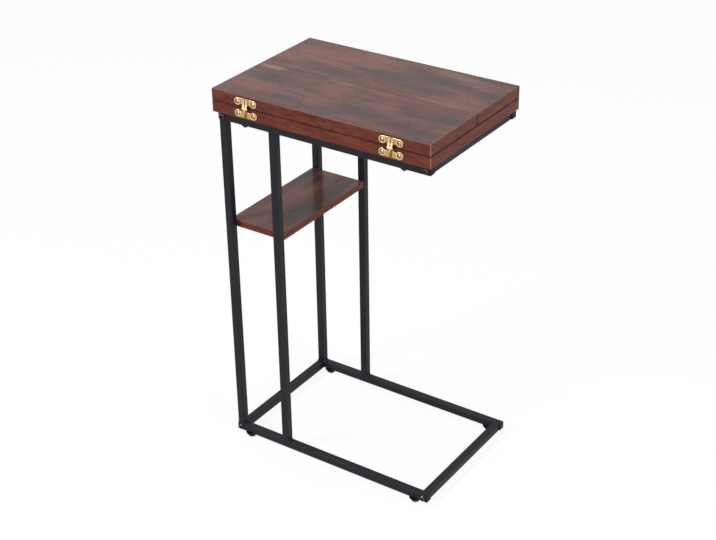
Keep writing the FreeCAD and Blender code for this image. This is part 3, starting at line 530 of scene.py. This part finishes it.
@node_group("rounded corner", {"Normal": "Vector"}, {"Mask": "Float"})
def rounded_corner(net, given):
    """A mask for what isn't square to X, Y or Z: it rises from 0 to 1 as the normal turns into a corner."""
    x, y, z = net.split(net.vector("ABSOLUTE", given["Normal"]))
    squarest = net.math("MAXIMUM", net.math("MAXIMUM", x, y), z)
    return {"Mask": net.step(squarest, *CORNER_RANGE)}


# Detail and roughness of both noises of a skin; the fine one's scale and height, next to the coarse one's.
SKIN_NOISE = (2.0, 0.5)
FINE_SCALE = 3.0
FINE_HEIGHT = 0.35
# Slow noise for the gloss: bumps a metre, detail and roughness.
CLOUD_NOISE = (28.0, 3.0, 0.55)


@node_group(
    "bumpy skin",
    {"Position": "Vector", "Grain": "Float", "Depth": "Float"},
    {"Normal": "Vector", "Height": "Float", "Cloud": "Float"},
)
def bumpy_skin(net, given):
    """The uneven skin of a sprayed, moulded or cast surface.

    Two noises, one three times as fine as the other, give the height; Cloud is a slow noise for the gloss.
    """
    scale = net.math("DIVIDE", 1.0, given["Grain"])
    coarse = net.noise(given["Position"], scale, *SKIN_NOISE)
    fine = net.noise(given["Position"], net.times(scale, FINE_SCALE), *SKIN_NOISE)
    height = net.math("MULTIPLY_ADD", fine, FINE_HEIGHT, coarse)
    cloud = net.noise(given["Position"], *CLOUD_NOISE)
    return {"Normal": net.bump(height, given["Depth"]), "Height": height, "Cloud": cloud}


def skin_at(net, position, grain, depth):
    """Outputs of a bumpy skin at position."""
    return net.use(bumpy_skin, {"Position": position, "Grain": grain, "Depth": depth})


def corner_mask(net, normal):
    """Mask of the rounded corners, from the normal."""
    return net.use(rounded_corner, {"Normal": normal})["Mask"]


def uneven_roughness(net, noise, roughness, span):
    """The roughness, which the noise changes by up to half the span either way."""
    return net.math("MULTIPLY_ADD", noise, span, roughness - span / 2)


def new_material(name, plain):
    """A material with one shader, whose sockets get the plain numbers.

    Returns the material, its net, its shader and the outputs of a Texture Coordinate node.
    """
    material = bpy.data.materials.new(name)
    material.use_nodes = True
    material.node_tree.nodes.clear()
    net = Net(material.node_tree)
    shader = net.add("ShaderNodeBsdfPrincipled", plain)
    net.add("ShaderNodeOutputMaterial", {"Surface": shader.outputs["BSDF"]})
    return material, net, shader, net.add("ShaderNodeTexCoord").outputs


def dress(names, material):
    """Gives the material to the CAD nodes of those names."""
    for name in names:
        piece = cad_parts[name]
        if not piece.material_slots:
            piece.data.materials.append(material)
        for slot in piece.material_slots:
            slot.material = material


def box_of(names):
    """Centre and half size of the box round those CAD nodes."""
    boxes = [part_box(name) for name in names]
    low = np.min([np.array(box[0]) for box in boxes], axis=0)
    high = np.max([np.array(box[1]) for box in boxes], axis=0)
    return tuple((low + high) / 2), tuple((high - low) / 2)


# ---------------- boards

# Places of the patches, by the setting that holds their colour, in millimetres on a board's upper face:
# middle along and across the grain, half length, half width. The grain runs along X on the top and along
# Y on the shelf.
TOP_PATCHES = {
    "rust": [
        (-140, 84, 56, 34), (-66, 96, 60, 26), (-30, -38, 32, 22), (70, -46, 28, 24),
        (140, 4, 46, 12), (60, -6, 60, 9), (-172, 40, 26, 12), (-150, -92, 44, 14),
    ],
    "slate": [
        (84, 82, 46, 18), (14, 58, 52, 20), (78, 38, 50, 14), (-80, 20, 48, 10),
        (-152, -42, 42, 18), (176, -42, 24, 14), (-92, -104, 48, 13), (0, -106, 36, 13),
        (46, -84, 40, 20), (166, -106, 26, 12), (186, 70, 22, 18),
    ],
    "umber": [(-34, -6, 30, 7), (128, 8, 46, 9), (100, 112, 56, 9)],
    "tan": [(-172, -8, 26, 10)],
}
SHELF_PATCHES_AND_SHADE = {
    "rust": [
        (-100, -160, 26, 36), (-104, -110, 14, 26), (74, -88, 36, 9), (16, -142, 62, 24),
        (-62, -158, 34, 22),
    ],
    "slate": [(-36, -106, 40, 14), (50, -102, 42, 12), (62, -178, 34, 13)],
    # The dark entries are painted shade and a painted reflection of the rear outer upright, over print that
    # is dark there too.
    "dark": [(98, -176, 34, 13), (72, -155, 32, 11)],
}

# How much weaker a patch is in the darkest grain, and how far flecks and stains cover the print.
PATCH_FADE = 0.40
RUSTIC_FLECK_STRENGTH = 0.35
BAND_FLECK_STRENGTH = 0.75
BAND_STAIN_STRENGTH = 0.55
# Tone at which the grain has the colour of the ground.
GROUND_TONE = 0.5
# Share of the pale edges' reach over which the painted shade beside the seam is full.
SEAM_CORE = 0.3
# What the embossing adds to the roughness, and the strength of its bump.
PORE_ROUGHNESS = 0.06
PORE_BUMP = 0.5


def wide_face_paint(net, finish, face, patches):
    """Colour of the wide faces: streaks from dark to light, and the patches on what looks up."""
    grain = net.use(rustic_print, {"Place": face["Place"]})
    ground = net.mix(net.step(grain["Tone"], 0.0, GROUND_TONE), finish.dark, finish.ground)
    paint = net.mix(net.step(grain["Tone"], GROUND_TONE, 1.0), ground, finish.light)
    streaky = net.math("MULTIPLY_ADD", grain["Tone"], PATCH_FADE, 1.0 - PATCH_FADE)
    for tint, places in dict(patches).items():
        for x, y, half_length, half_width in places:
            patch = {
                "Place": face["Place"],
                "Centre": (x * MM, y * MM, 0),
                "Half size": (half_length * MM, half_width * MM, 1),
                "Stray": grain["Stray"],
            }
            mask = net.use(print_patch, patch)["Mask"]
            cover = net.times(mask, face["Faces up"], streaky, finish.patch_strength)
            paint = net.mix(cover, paint, getattr(finish, tint))
    flecked = net.times(grain["Fleck"], RUSTIC_FLECK_STRENGTH)
    return net.mix(flecked, paint, finish.dark), grain["Pores"]


def edge_band_paint(net, finish, face):
    """Colour of the edge bands: an even red-brown with dark flecks and warm stains."""
    marks = net.use(band_print, {"Place": face["Place"]})
    stain = net.times(marks["Stain"], BAND_STAIN_STRENGTH)
    fleck = net.times(marks["Fleck"], BAND_FLECK_STRENGTH)
    return net.mix(fleck, net.mix(stain, finish.band, finish.band_warm), finish.band_fleck_and_joint_shade)


def swap_xy(net, vector):
    """The vector with its X and Y swapped."""
    x, y, z = net.split(vector)
    return net.join(y, x, z)


def seam_shade(net, finish, position, wide_face):
    """Mask of the painted shade on the edge bands at the seam between the leaves, which runs along X at Y =
    0.
    """
    _, y, _ = net.split(position)
    near = net.step(net.math("ABSOLUTE", y), finish.edge_reach, SEAM_CORE * finish.edge_reach)
    return net.times(near, net.step(wide_face, 1.0, 0.0, 0.0, finish.joint_shade))


def edge_marks(net, finish, position, nodes, shaded_edge):
    """Masks of the pale lines, a painted highlight with some real rubbing, and of the painted shade along
    the outer edges of the board that nodes make up.

    shaded_edge is the level edge, Upper or Lower, that meets another board and gets the painted shade, or
    None.
    """
    centre, half = box_of(nodes)
    edges = net.use(
        box_edge,
        {"Position": position, "Centre": centre, "Half size": half, "Reach": finish.edge_reach},
    )
    highlight_and_wear = net.times(edges["Upright"], finish.upright_highlight_and_wear)
    if shaded_edge != "Upper":
        highlight_and_wear = net.math("MAXIMUM", highlight_and_wear, net.times(edges["Upper"], finish.level_highlight_and_wear))
    painted_shade = net.times(edges[shaded_edge], finish.joint_shade) if shaded_edge else 0.0
    return highlight_and_wear, painted_shade


def laminate(name, finish, nodes, patches=(), shaded_edge=None, has_seam=False, along_y=False):
    """A printed laminate, matt on the edge bands and with a clear layer on the wide faces.

    patches are as in TOP_PATCHES, and show on the faces that look up; shaded_edge is as in edge_marks. The
    grain of the wide faces runs along X, or along Y if along_y is set.
    """
    plain = {"Coat Roughness": finish.clear_roughness, "Specular IOR Level": finish.reflectance}
    material, net, shader, where = new_material(name, plain)
    position, normal = where["Object"], where["Normal"]
    if along_y:
        position, normal = swap_xy(net, position), swap_xy(net, normal)
    face = net.use(face_place, {"Position": position, "Normal": normal})
    wide, pores = wide_face_paint(net, finish, face, patches)
    paint = net.mix(face["Wide face"], edge_band_paint(net, finish, face), wide)
    highlight_and_wear, painted_shade = edge_marks(net, finish, where["Object"], nodes, shaded_edge)
    if has_seam:
        painted_shade = net.math("MAXIMUM", painted_shade, seam_shade(net, finish, where["Object"], face["Wide face"]))
    # Paler edges: a painted highlight along the eased edges, partly real rubbing.
    paint = net.mix(highlight_and_wear, paint, finish.pale_edge)
    clear = net.step(face["Wide face"], 0.0, 1.0, finish.clear_edge, finish.clear_layer)
    # Painted shade in the joints between the boards: a darker colour and a thinner clear layer.
    fed = {
        "Base Color": net.mix(painted_shade, paint, finish.band_fleck_and_joint_shade),
        "Roughness": net.math("MULTIPLY_ADD", pores, PORE_ROUGHNESS, finish.roughness),
        "Normal": net.bump(pores, finish.pore_depth, PORE_BUMP),
        "Coat Weight": net.times(clear, net.math("SUBTRACT", 1.0, painted_shade)),
    }
    net.feed_all(shader, fed)
    return material


class ENDTABLE_OT_boards(Operator):
    """Finish the leaves, the lower board and the shelf in printed laminate"""

    bl_idname = "endtable.boards"
    bl_label = "Finish boards"

    def execute(self, context):
        finish = context.scene.end_table.boards
        board, shelf = ["lower_board"], ["shelf"]
        dress(LEAVES, laminate("rustic laminate, top", finish, LEAVES, TOP_PATCHES, "Lower", has_seam=True))
        dress(board, laminate("rustic laminate, lower board", finish, board, shaded_edge="Upper"))
        dress(shelf, laminate("rustic laminate, shelf", finish, shelf, SHELF_PATCHES_AND_SHADE, along_y=True))
        return {"FINISHED"}


# ---------------- frame

COAT_NAME = "satin black powder coat"
# Where dust settles: from which upward share of the normal, in which part of the slow noise, and how much.
DUST_FACING = (0.3, 1.0)
DUST_CLOUD = (0.42, 0.72)
DUST_STRENGTH = 0.35
# Part of the slow noise in which the corners are rubbed.
RUB_CLOUD = (0.35, 0.62)
COAT_ROUGHNESS_SPAN = 0.14

# A bead's width, as a share of its tube's, and the powers of the superellipse that closes its ends.
BEAD_WIDTH = 0.86
BEAD_END_POWER = 6
BEAD_END_ROOT = 0.5
# How far a ripple bows forward in the middle of the face, as a share of the leg.
RIPPLE_BOW = 0.5


def powder_coat(finish):
    """Satin black powder coat: orange peel, rubbed corners and a trace of dust on what looks up."""
    plain = {"Specular IOR Level": finish.reflectance}
    material, net, shader, where = new_material(COAT_NAME, plain)
    skin = skin_at(net, where["Object"], finish.peel_size, finish.peel_depth)
    _, _, up = net.split(where["Normal"])
    cloud = net.step(skin["Cloud"], *DUST_CLOUD)
    paint = net.mix(net.times(net.step(up, *DUST_FACING), cloud, DUST_STRENGTH), finish.coat, finish.dust)
    corner = corner_mask(net, where["Normal"])
    pale_edge = net.times(corner, net.step(skin["Cloud"], *RUB_CLOUD), finish.rub)
    fed = {
        "Base Color": net.mix(pale_edge, paint, finish.rubbed),
        "Roughness": uneven_roughness(net, skin["Cloud"], finish.roughness, COAT_ROUGHNESS_SPAN),
        "Normal": skin["Normal"],
    }
    net.feed_all(shader, fed)
    return material


class ENDTABLE_OT_coat(Operator):
    """Finish the tubes of the frame in satin black powder coat"""

    bl_idname = "endtable.coat"
    bl_label = "Coat frame"

    def execute(self, context):
        dress(TUBES, powder_coat(context.scene.end_table.coat))
        return {"FINISHED"}


def bead_corners():
    """The inner corners of the side frames: (corner, direction along the rail, direction up the upright).

    A corner is where an upright's side meets a rail's face, halfway across the tube.
    """
    corners = []
    for end in ENDS:
        for row, steps in (("outer", (1,)), ("inner", (-1, 1))):
            low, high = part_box(f"{end}_{row}_upright")
            y = (low.y + high.y) / 2
            for step in steps:
                x = high.x if step > 0 else low.x
                corners.append(((x, y, low.z), (step, 0, 0), (0, 0, 1)))
                corners.append(((x, y, high.z), (step, 0, 0), (0, 0, -1)))
    return corners


def bead_grid(shape, width):
    """Points of one bead, as (station, outline, coordinate): along it, along the rail, up the upright.

    The outline starts sunk in the corner and comes back over the face. The face follows the chord from
    (leg, 0) to (0, leg), raised square to it by a half sine of the bulge. A ripple, a cosine of the way
    along that bows forward in the middle of the face, is added to the bulge. Towards the ends the leg
    shrinks as a superellipse, and the first and last outlines close on one point.
    """
    along = np.linspace(-1, 1, shape.stations)
    way = along[:, None] * width / 2
    swell = np.power(np.clip(1 - np.abs(along) ** BEAD_END_POWER, 0, 1), BEAD_END_ROOT)[:, None]
    across = np.linspace(0, 1, shape.face_points)[None, :]
    arch = np.sin(np.pi * across)
    turns = 2 * np.pi / shape.ripple * (way + shape.leg * RIPPLE_BOW * arch)
    lift = (shape.bulge * arch + shape.ripple_height * arch * np.cos(turns)) * swell * math.sqrt(0.5)
    run = shape.leg * (1 - across) * swell + lift
    rise = shape.leg * across * swell + lift
    sunk = np.full((shape.stations, 1), -shape.sink)
    run = np.concatenate([sunk, run - shape.sink * across, sunk], axis=1)
    rise = np.concatenate([sunk, rise - shape.sink * (1 - across), sunk], axis=1)
    return np.stack([np.repeat(way, run.shape[1], axis=1), run, rise], axis=-1)[:, :-1]


def tube_faces(stations, outline, first):
    """Quads between neighbouring outlines of a closed tube, and one face to close each end."""
    station = np.arange(stations - 1)[:, None]
    point = np.arange(outline)[None, :]
    following = (point + 1) % outline
    corners = [
        station * outline + point,
        station * outline + following,
        (station + 1) * outline + following,
        (station + 1) * outline + point,
    ]
    quads = np.stack([np.broadcast_to(corner, (stations - 1, outline)) for corner in corners], axis=-1)
    faces = (quads.reshape(-1, 4) + first).tolist()
    start = (np.arange(outline)[::-1] + first).tolist()
    finish = (np.arange(outline) + (stations - 1) * outline + first).tolist()
    return faces + [start, finish]


def weld_beads(shape, width):
    """One mesh with a bead in each inner corner of the side frames."""
    grid = bead_grid(shape, width)
    stations, outline, _ = grid.shape
    points = []
    faces = []
    for number, (corner, run, rise) in enumerate(bead_corners()):
        axes = np.array([(0, 1, 0), run, rise], float)
        points.append(grid.reshape(-1, 3) @ axes + np.array(corner))
        block = tube_faces(stations, outline, number * stations * outline)
        if np.linalg.det(axes) < 0:
            block = [face[::-1] for face in block]
        faces += block
    mesh = bpy.data.meshes.new("weld_beads")
    mesh.from_pydata(np.concatenate(points).tolist(), [], faces)
    mesh.polygons.foreach_set("use_smooth", np.ones(len(mesh.polygons), bool))
    mesh.update()
    return mesh


class ENDTABLE_OT_beads(Operator):
    """Add the weld beads between the uprights and the rails"""

    bl_idname = "endtable.beads"
    bl_label = "Add weld beads"

    def execute(self, context):
        low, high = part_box("front_outer_upright")
        mesh = weld_beads(context.scene.end_table.beads, (high.y - low.y) * BEAD_WIDTH)
        piece = bpy.data.objects.new("weld_beads", mesh)
        context.scene.collection.objects.link(piece)
        mesh.materials.append(bpy.data.materials[COAT_NAME])
        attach(piece, "base")
        return {"FINISHED"}


# ---------------- plastic

# Height of the skin's bumps where the scuffs start and where they are full.
SCUFF_RANGE = (0.55, 0.85)
PLASTIC_ROUGHNESS_SPAN = 0.16


def moulded_plastic(finish):
    """Black plastic with the mould's fine grain and a scuffed band near the floor."""
    plain = {"Specular IOR Level": finish.reflectance}
    material, net, shader, where = new_material("moulded black plastic", plain)
    skin = skin_at(net, where["Object"], finish.texture_size, finish.texture_depth)
    _, _, z = net.split(where["Object"])
    near_floor = net.step(z, finish.scuff_height, 0.0)
    scuffed = net.times(near_floor, net.step(skin["Height"], *SCUFF_RANGE))
    fed = {
        "Base Color": net.mix(scuffed, finish.plastic, finish.scuff),
        "Roughness": uneven_roughness(net, skin["Cloud"], finish.roughness, PLASTIC_ROUGHNESS_SPAN),
        "Normal": skin["Normal"],
    }
    net.feed_all(shader, fed)
    return material


class ENDTABLE_OT_plastic(Operator):
    """Finish the end caps and the feet in moulded plastic"""

    bl_idname = "endtable.plastic"
    bl_label = "Finish caps and feet"

    def execute(self, context):
        dress(["rail_end_caps"] + FEET, moulded_plastic(context.scene.end_table.plastic))
        return {"FINISHED"}


# ---------------- fasteners

# The turning marks are drawn out across Z.
TURNING_STRETCH = (0.2, 0.2, 1.0)
# Brightness of the thin plating, and the part of the slow noise over which it changes.
THIN_PLATING = 0.6
PLATING_CLOUD = (0.35, 0.65)
STEEL_ROUGHNESS_SPAN = 0.12


def plated_steel(name, tint, finish):
    """Turned and plated steel: fine marks along Z and a slow change of the plating."""
    material, net, shader, where = new_material(name, {"Metallic": 1.0})
    stretched = net.vector("MULTIPLY", where["Object"], TURNING_STRETCH)
    skin = skin_at(net, stretched, finish.turning_pitch, finish.turning_depth)
    deep = tuple(channel * THIN_PLATING for channel in tint)
    fed = {
        "Base Color": net.mix(net.step(skin["Cloud"], *PLATING_CLOUD), deep, tint),
        "Roughness": uneven_roughness(net, skin["Height"], finish.roughness, STEEL_ROUGHNESS_SPAN),
        "Normal": skin["Normal"],
    }
    net.feed_all(shader, fed)
    return material


class ENDTABLE_OT_fasteners(Operator):
    """Finish the bolts, the wood screws and the threaded blocks"""

    bl_idname = "endtable.fasteners"
    bl_label = "Finish fasteners"

    def execute(self, context):
        finish = context.scene.end_table.fasteners
        dress(["frame_bolts"], plated_steel("black nickel", finish.bolt, finish))
        dress(["board_fixing_screws", "shelf_screws"], plated_steel("black zinc", finish.screw, finish))
        dress(["threaded_blocks"], plated_steel("plain steel", finish.steel, finish))
        return {"FINISHED"}


# ---------------- hinges

# Middle height of the skin, and how far its bumps shift the borders of the tarnished dishes and of the pale
# brass, a painted highlight.
SKIN_MIDDLE = 0.67
BORDER_SHIFT = 0.5 * MM
# Widths of the borders.
TARNISH_BORDER = 0.2 * MM
BRIGHT_BORDER = 0.25 * MM
RIM_BORDER = 0.3 * MM
KNUCKLE_BORDER = 1.2 * MM
LOW_BORDER = 0.1 * MM
# Strengths of the tarnished dishes and the painted shade beside the knuckles, and of the pale brass, a
# painted highlight, on what stands out and on the rims.
TARNISH_AND_SHADE_STRENGTH = 0.9
BRIGHT_STRENGTH = 0.9
RIM_STRENGTH = 0.8
# What the tarnish and the slow noise add to the roughness.
TARNISH_ROUGHNESS = 0.20
CLOUD_ROUGHNESS = 0.08
# A screw's head is dark below the first of these and pale above the second, from its dish's bottom; the
# pale top is a painted highlight.
SCREW_DARK = -0.1 * MM
SCREW_BRIGHT = 0.3 * MM


def cast_brass(name, finish, dark_below, pale_above, knuckle=None):
    """Cast brass: tarnished where it lies deep, golden on its faces, and pale where it stands out, which is
    polish and a painted highlight.

    dark_below and pale_above are distances from the middle of the table, counted along Y to the front and
    to the back. knuckle, if given, is the hinges' distance from the middle along X and the reach of the
    painted shade that the face holds beside their arms or tongue, in the colour of the tarnished dishes.
    """
    material, net, shader, where = new_material(name, {"Metallic": 1.0})
    skin = skin_at(net, where["Object"], finish.cast_size, finish.cast_depth)
    x, y, _ = net.split(where["Object"])
    out = net.math("ABSOLUTE", y)
    above = net.math("SUBTRACT", skin["Height"], SKIN_MIDDLE)
    uneven = net.math("MULTIPLY_ADD", above, BORDER_SHIFT, out)
    deep = net.step(uneven, dark_below, dark_below - TARNISH_BORDER)
    stands_out = net.step(uneven, pale_above, pale_above + BRIGHT_BORDER)
    # Painted shade on the face beside the arms or the tongue, where the knuckle shades it.
    if knuckle:
        knuckle_x, reach = knuckle
        aside = net.math("ABSOLUTE", net.math("SUBTRACT", net.math("ABSOLUTE", x), knuckle_x))
        beside = net.step(aside, reach, reach - KNUCKLE_BORDER)
        low = net.step(out, pale_above + LOW_BORDER, pale_above)
        deep = net.math("MAXIMUM", deep, net.times(beside, low))
    # Pale brass on the rounded rims and on what stands out: polish and a painted highlight.
    raised = net.step(out, dark_below - RIM_BORDER, dark_below)
    rim = net.times(corner_mask(net, where["Normal"]), raised, RIM_STRENGTH)
    bright = net.math("MAXIMUM", rim, net.times(stands_out, BRIGHT_STRENGTH))
    metal = net.mix(net.times(deep, TARNISH_AND_SHADE_STRENGTH), finish.brass, finish.tarnish_and_shade)
    dull = net.math("MULTIPLY_ADD", deep, TARNISH_ROUGHNESS, finish.roughness)
    fed = {
        "Base Color": net.mix(bright, metal, finish.pale),
        "Roughness": net.math("MULTIPLY_ADD", skin["Cloud"], CLOUD_ROUGHNESS, dull),
        "Normal": skin["Normal"],
    }
    net.feed_all(shader, fed)
    return material


class ENDTABLE_OT_brass(Operator):
    """Finish the hinge plates, pins and screws in brass"""

    bl_idname = "endtable.brass"
    bl_label = "Finish hinges"

    def execute(self, context):
        finish = context.scene.end_table.brass
        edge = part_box("lower_board")[1].y
        low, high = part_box("front_right_hinge_leaf_plate")
        middle = (low.x + high.x) / 2
        face = edge + finish.plate_thickness
        dish = face - finish.dish_depth
        ring = face + finish.ring_height
        # Tarnish starts halfway down a dish, and the pale brass of the painted highlight halfway up a ring.
        levels = ((face + dish) / 2, (face + ring) / 2)
        on_screw = (dish + SCREW_DARK, dish + SCREW_BRIGHT)
        arms, tongue = (middle, finish.arms_reach), (middle, finish.tongue_reach)
        dress(LEAF_PLATES, cast_brass("cast brass, leaf plates", finish, *levels, arms))
        dress(BOARD_PLATES, cast_brass("cast brass, board plates", finish, *levels, tongue))
        dress(HINGE_PINS, cast_brass("drawn brass", finish, edge, face))
        dress(HINGE_SCREWS, cast_brass("turned brass", finish, *on_screw))
        return {"FINISHED"}


# ---------------- studio

# Soft boxes: name, place and side, in metres. All of them shine at the one point.
LAMPS = [
    ("key", (-1.5, -2.3, 2.4), 0.9),
    ("fill", (2.6, -0.8, 1.7), 1.8),
    ("top", (0.0, 0.2, 3.2), 2.2),
]
LAMP_AIM = (0.0, 0.0, 0.5)
WHITE = (1.0, 1.0, 1.0)
# Half of the floor's side, and how far it lies below the feet, in metres.
FLOOR_HALF = 12.0
FLOOR_DROP = 0.0003
# Width of the camera's sensor, in millimetres.
SENSOR_WIDTH = 36


def seen_rays(net):
    """1 for rays from the camera, and for those that metal or glass sends on."""
    path = net.add("ShaderNodeLightPath").outputs
    seen = net.math("MAXIMUM", path["Is Camera Ray"], path["Is Glossy Ray"])
    return net.math("MAXIMUM", seen, path["Is Transmission Ray"])


def studio_floor(setup):
    """A pale floor that is white where it is seen, but for a part of its own shading."""
    material = bpy.data.materials.new("studio floor")
    material.use_nodes = True
    material.node_tree.nodes.clear()
    net = Net(material.node_tree)
    matt = net.add("ShaderNodeBsdfDiffuse", {"Color": (setup.floor_grey,) * 3})
    white = net.add("ShaderNodeEmission", {"Color": WHITE, "Strength": 1.0})
    unshaded = net.times(seen_rays(net), 1.0 - setup.shadow)
    blend = net.add("ShaderNodeMixShader", {0: unshaded, 1: matt.outputs[0], 2: white.outputs[0]})
    net.add("ShaderNodeOutputMaterial", {"Surface": blend.outputs[0]})
    return material


def add_floor(scene, setup):
    """A square floor just under the feet."""
    mesh = bpy.data.meshes.new("studio_floor")
    signs = ((-1, -1), (1, -1), (1, 1), (-1, 1))
    corners = [(x * FLOOR_HALF, y * FLOOR_HALF, -FLOOR_DROP) for x, y in signs]
    mesh.from_pydata(corners, [], [(0, 1, 2, 3)])
    mesh.materials.append(studio_floor(setup))
    floor = bpy.data.objects.new("studio_floor", mesh)
    scene.collection.objects.link(floor)


def add_world(scene, setup):
    """White for the camera and in reflections, and a weaker light on matt surfaces."""
    world = bpy.data.worlds.new("studio room")
    world.use_nodes = True
    world.node_tree.nodes.clear()
    net = Net(world.node_tree)
    strength = net.step(seen_rays(net), 0.0, 1.0, setup.ambient, 1.0)
    background = net.add("ShaderNodeBackground", {"Color": WHITE, "Strength": strength})
    net.add("ShaderNodeOutputWorld", {"Surface": background.outputs[0]})
    scene.world = world


def add_lamp(scene, name, place, size, watts):
    """A square soft box at place that shines at the table."""
    lamp = bpy.data.lights.new(name, "AREA")
    lamp.shape = "SQUARE"
    lamp.size = size
    lamp.energy = watts
    holder = bpy.data.objects.new(name, lamp)
    holder.location = place
    holder.rotation_euler = (Vector(place) - Vector(LAMP_AIM)).to_track_quat("Z", "Y").to_euler()
    scene.collection.objects.link(holder)


def add_camera(scene, setup):
    """A camera on a sphere round its target, turned to look at it and then rolled."""
    level = math.cos(setup.elevation)
    back = Vector(
        (level * math.sin(setup.azimuth), -level * math.cos(setup.azimuth), math.sin(setup.elevation))
    )
    data = bpy.data.cameras.new("camera")
    data.sensor_width = SENSOR_WIDTH
    data.sensor_fit = "HORIZONTAL"
    data.lens = setup.lens
    camera = bpy.data.objects.new("camera", data)
    camera.rotation_mode = "QUATERNION"
    camera.rotation_quaternion = back.to_track_quat("Z", "Y") @ Quaternion((0, 0, 1), setup.roll)
    camera.location = Vector(setup.target) + back * setup.distance
    scene.collection.objects.link(camera)
    scene.camera = camera


class ENDTABLE_OT_studio(Operator):
    """Set up the camera, the lamps, the floor and the background"""

    bl_idname = "endtable.studio"
    bl_label = "Set up studio"

    def execute(self, context):
        scene = context.scene
        setup = scene.end_table.studio
        add_floor(scene, setup)
        add_world(scene, setup)
        for name, place, size in LAMPS:
            add_lamp(scene, name, place, size, getattr(setup, f"{name}_power"))
        add_camera(scene, setup)
        scene.view_settings.view_transform = "Standard"
        return {"FINISHED"}


# ---------------- add-on

STEPS = (
    ENDTABLE_OT_boards,
    ENDTABLE_OT_coat,
    ENDTABLE_OT_beads,
    ENDTABLE_OT_plastic,
    ENDTABLE_OT_fasteners,
    ENDTABLE_OT_brass,
    ENDTABLE_OT_studio,
)


class ENDTABLE_PT_looks(Panel):
    """Buttons for each step of the dressing"""

    bl_idname = "ENDTABLE_PT_looks"
    bl_label = "End Table"
    bl_space_type = "VIEW_3D"
    bl_region_type = "UI"
    bl_category = "End Table"

    def draw(self, context):
        """A box for each operator, with the settings that share its name."""
        looks = context.scene.end_table
        for step in STEPS:
            box = self.layout.box()
            box.operator(step.bl_idname)
            settings = getattr(looks, step.bl_idname.partition(".")[2])
            for name in settings.__annotations__:
                box.prop(settings, name)


CLASSES = (
    BoardFinish,
    CoatFinish,
    BeadShape,
    PlasticFinish,
    FastenerFinish,
    BrassFinish,
    StudioSetup,
    EndTableLooks,
    *STEPS,
    ENDTABLE_PT_looks,
)


def register():
    for kind in CLASSES:
        bpy.utils.register_class(kind)
    bpy.types.Scene.end_table = PointerProperty(type=EndTableLooks)


def unregister():
    del bpy.types.Scene.end_table
    for kind in reversed(CLASSES):
        bpy.utils.unregister_class(kind)


def main():
    register()
    bpy.ops.endtable.boards()
    bpy.ops.endtable.coat()
    bpy.ops.endtable.beads()
    bpy.ops.endtable.plastic()
    bpy.ops.endtable.fasteners()
    bpy.ops.endtable.brass()
    bpy.ops.endtable.studio()


if __name__ == "__main__":
    main()
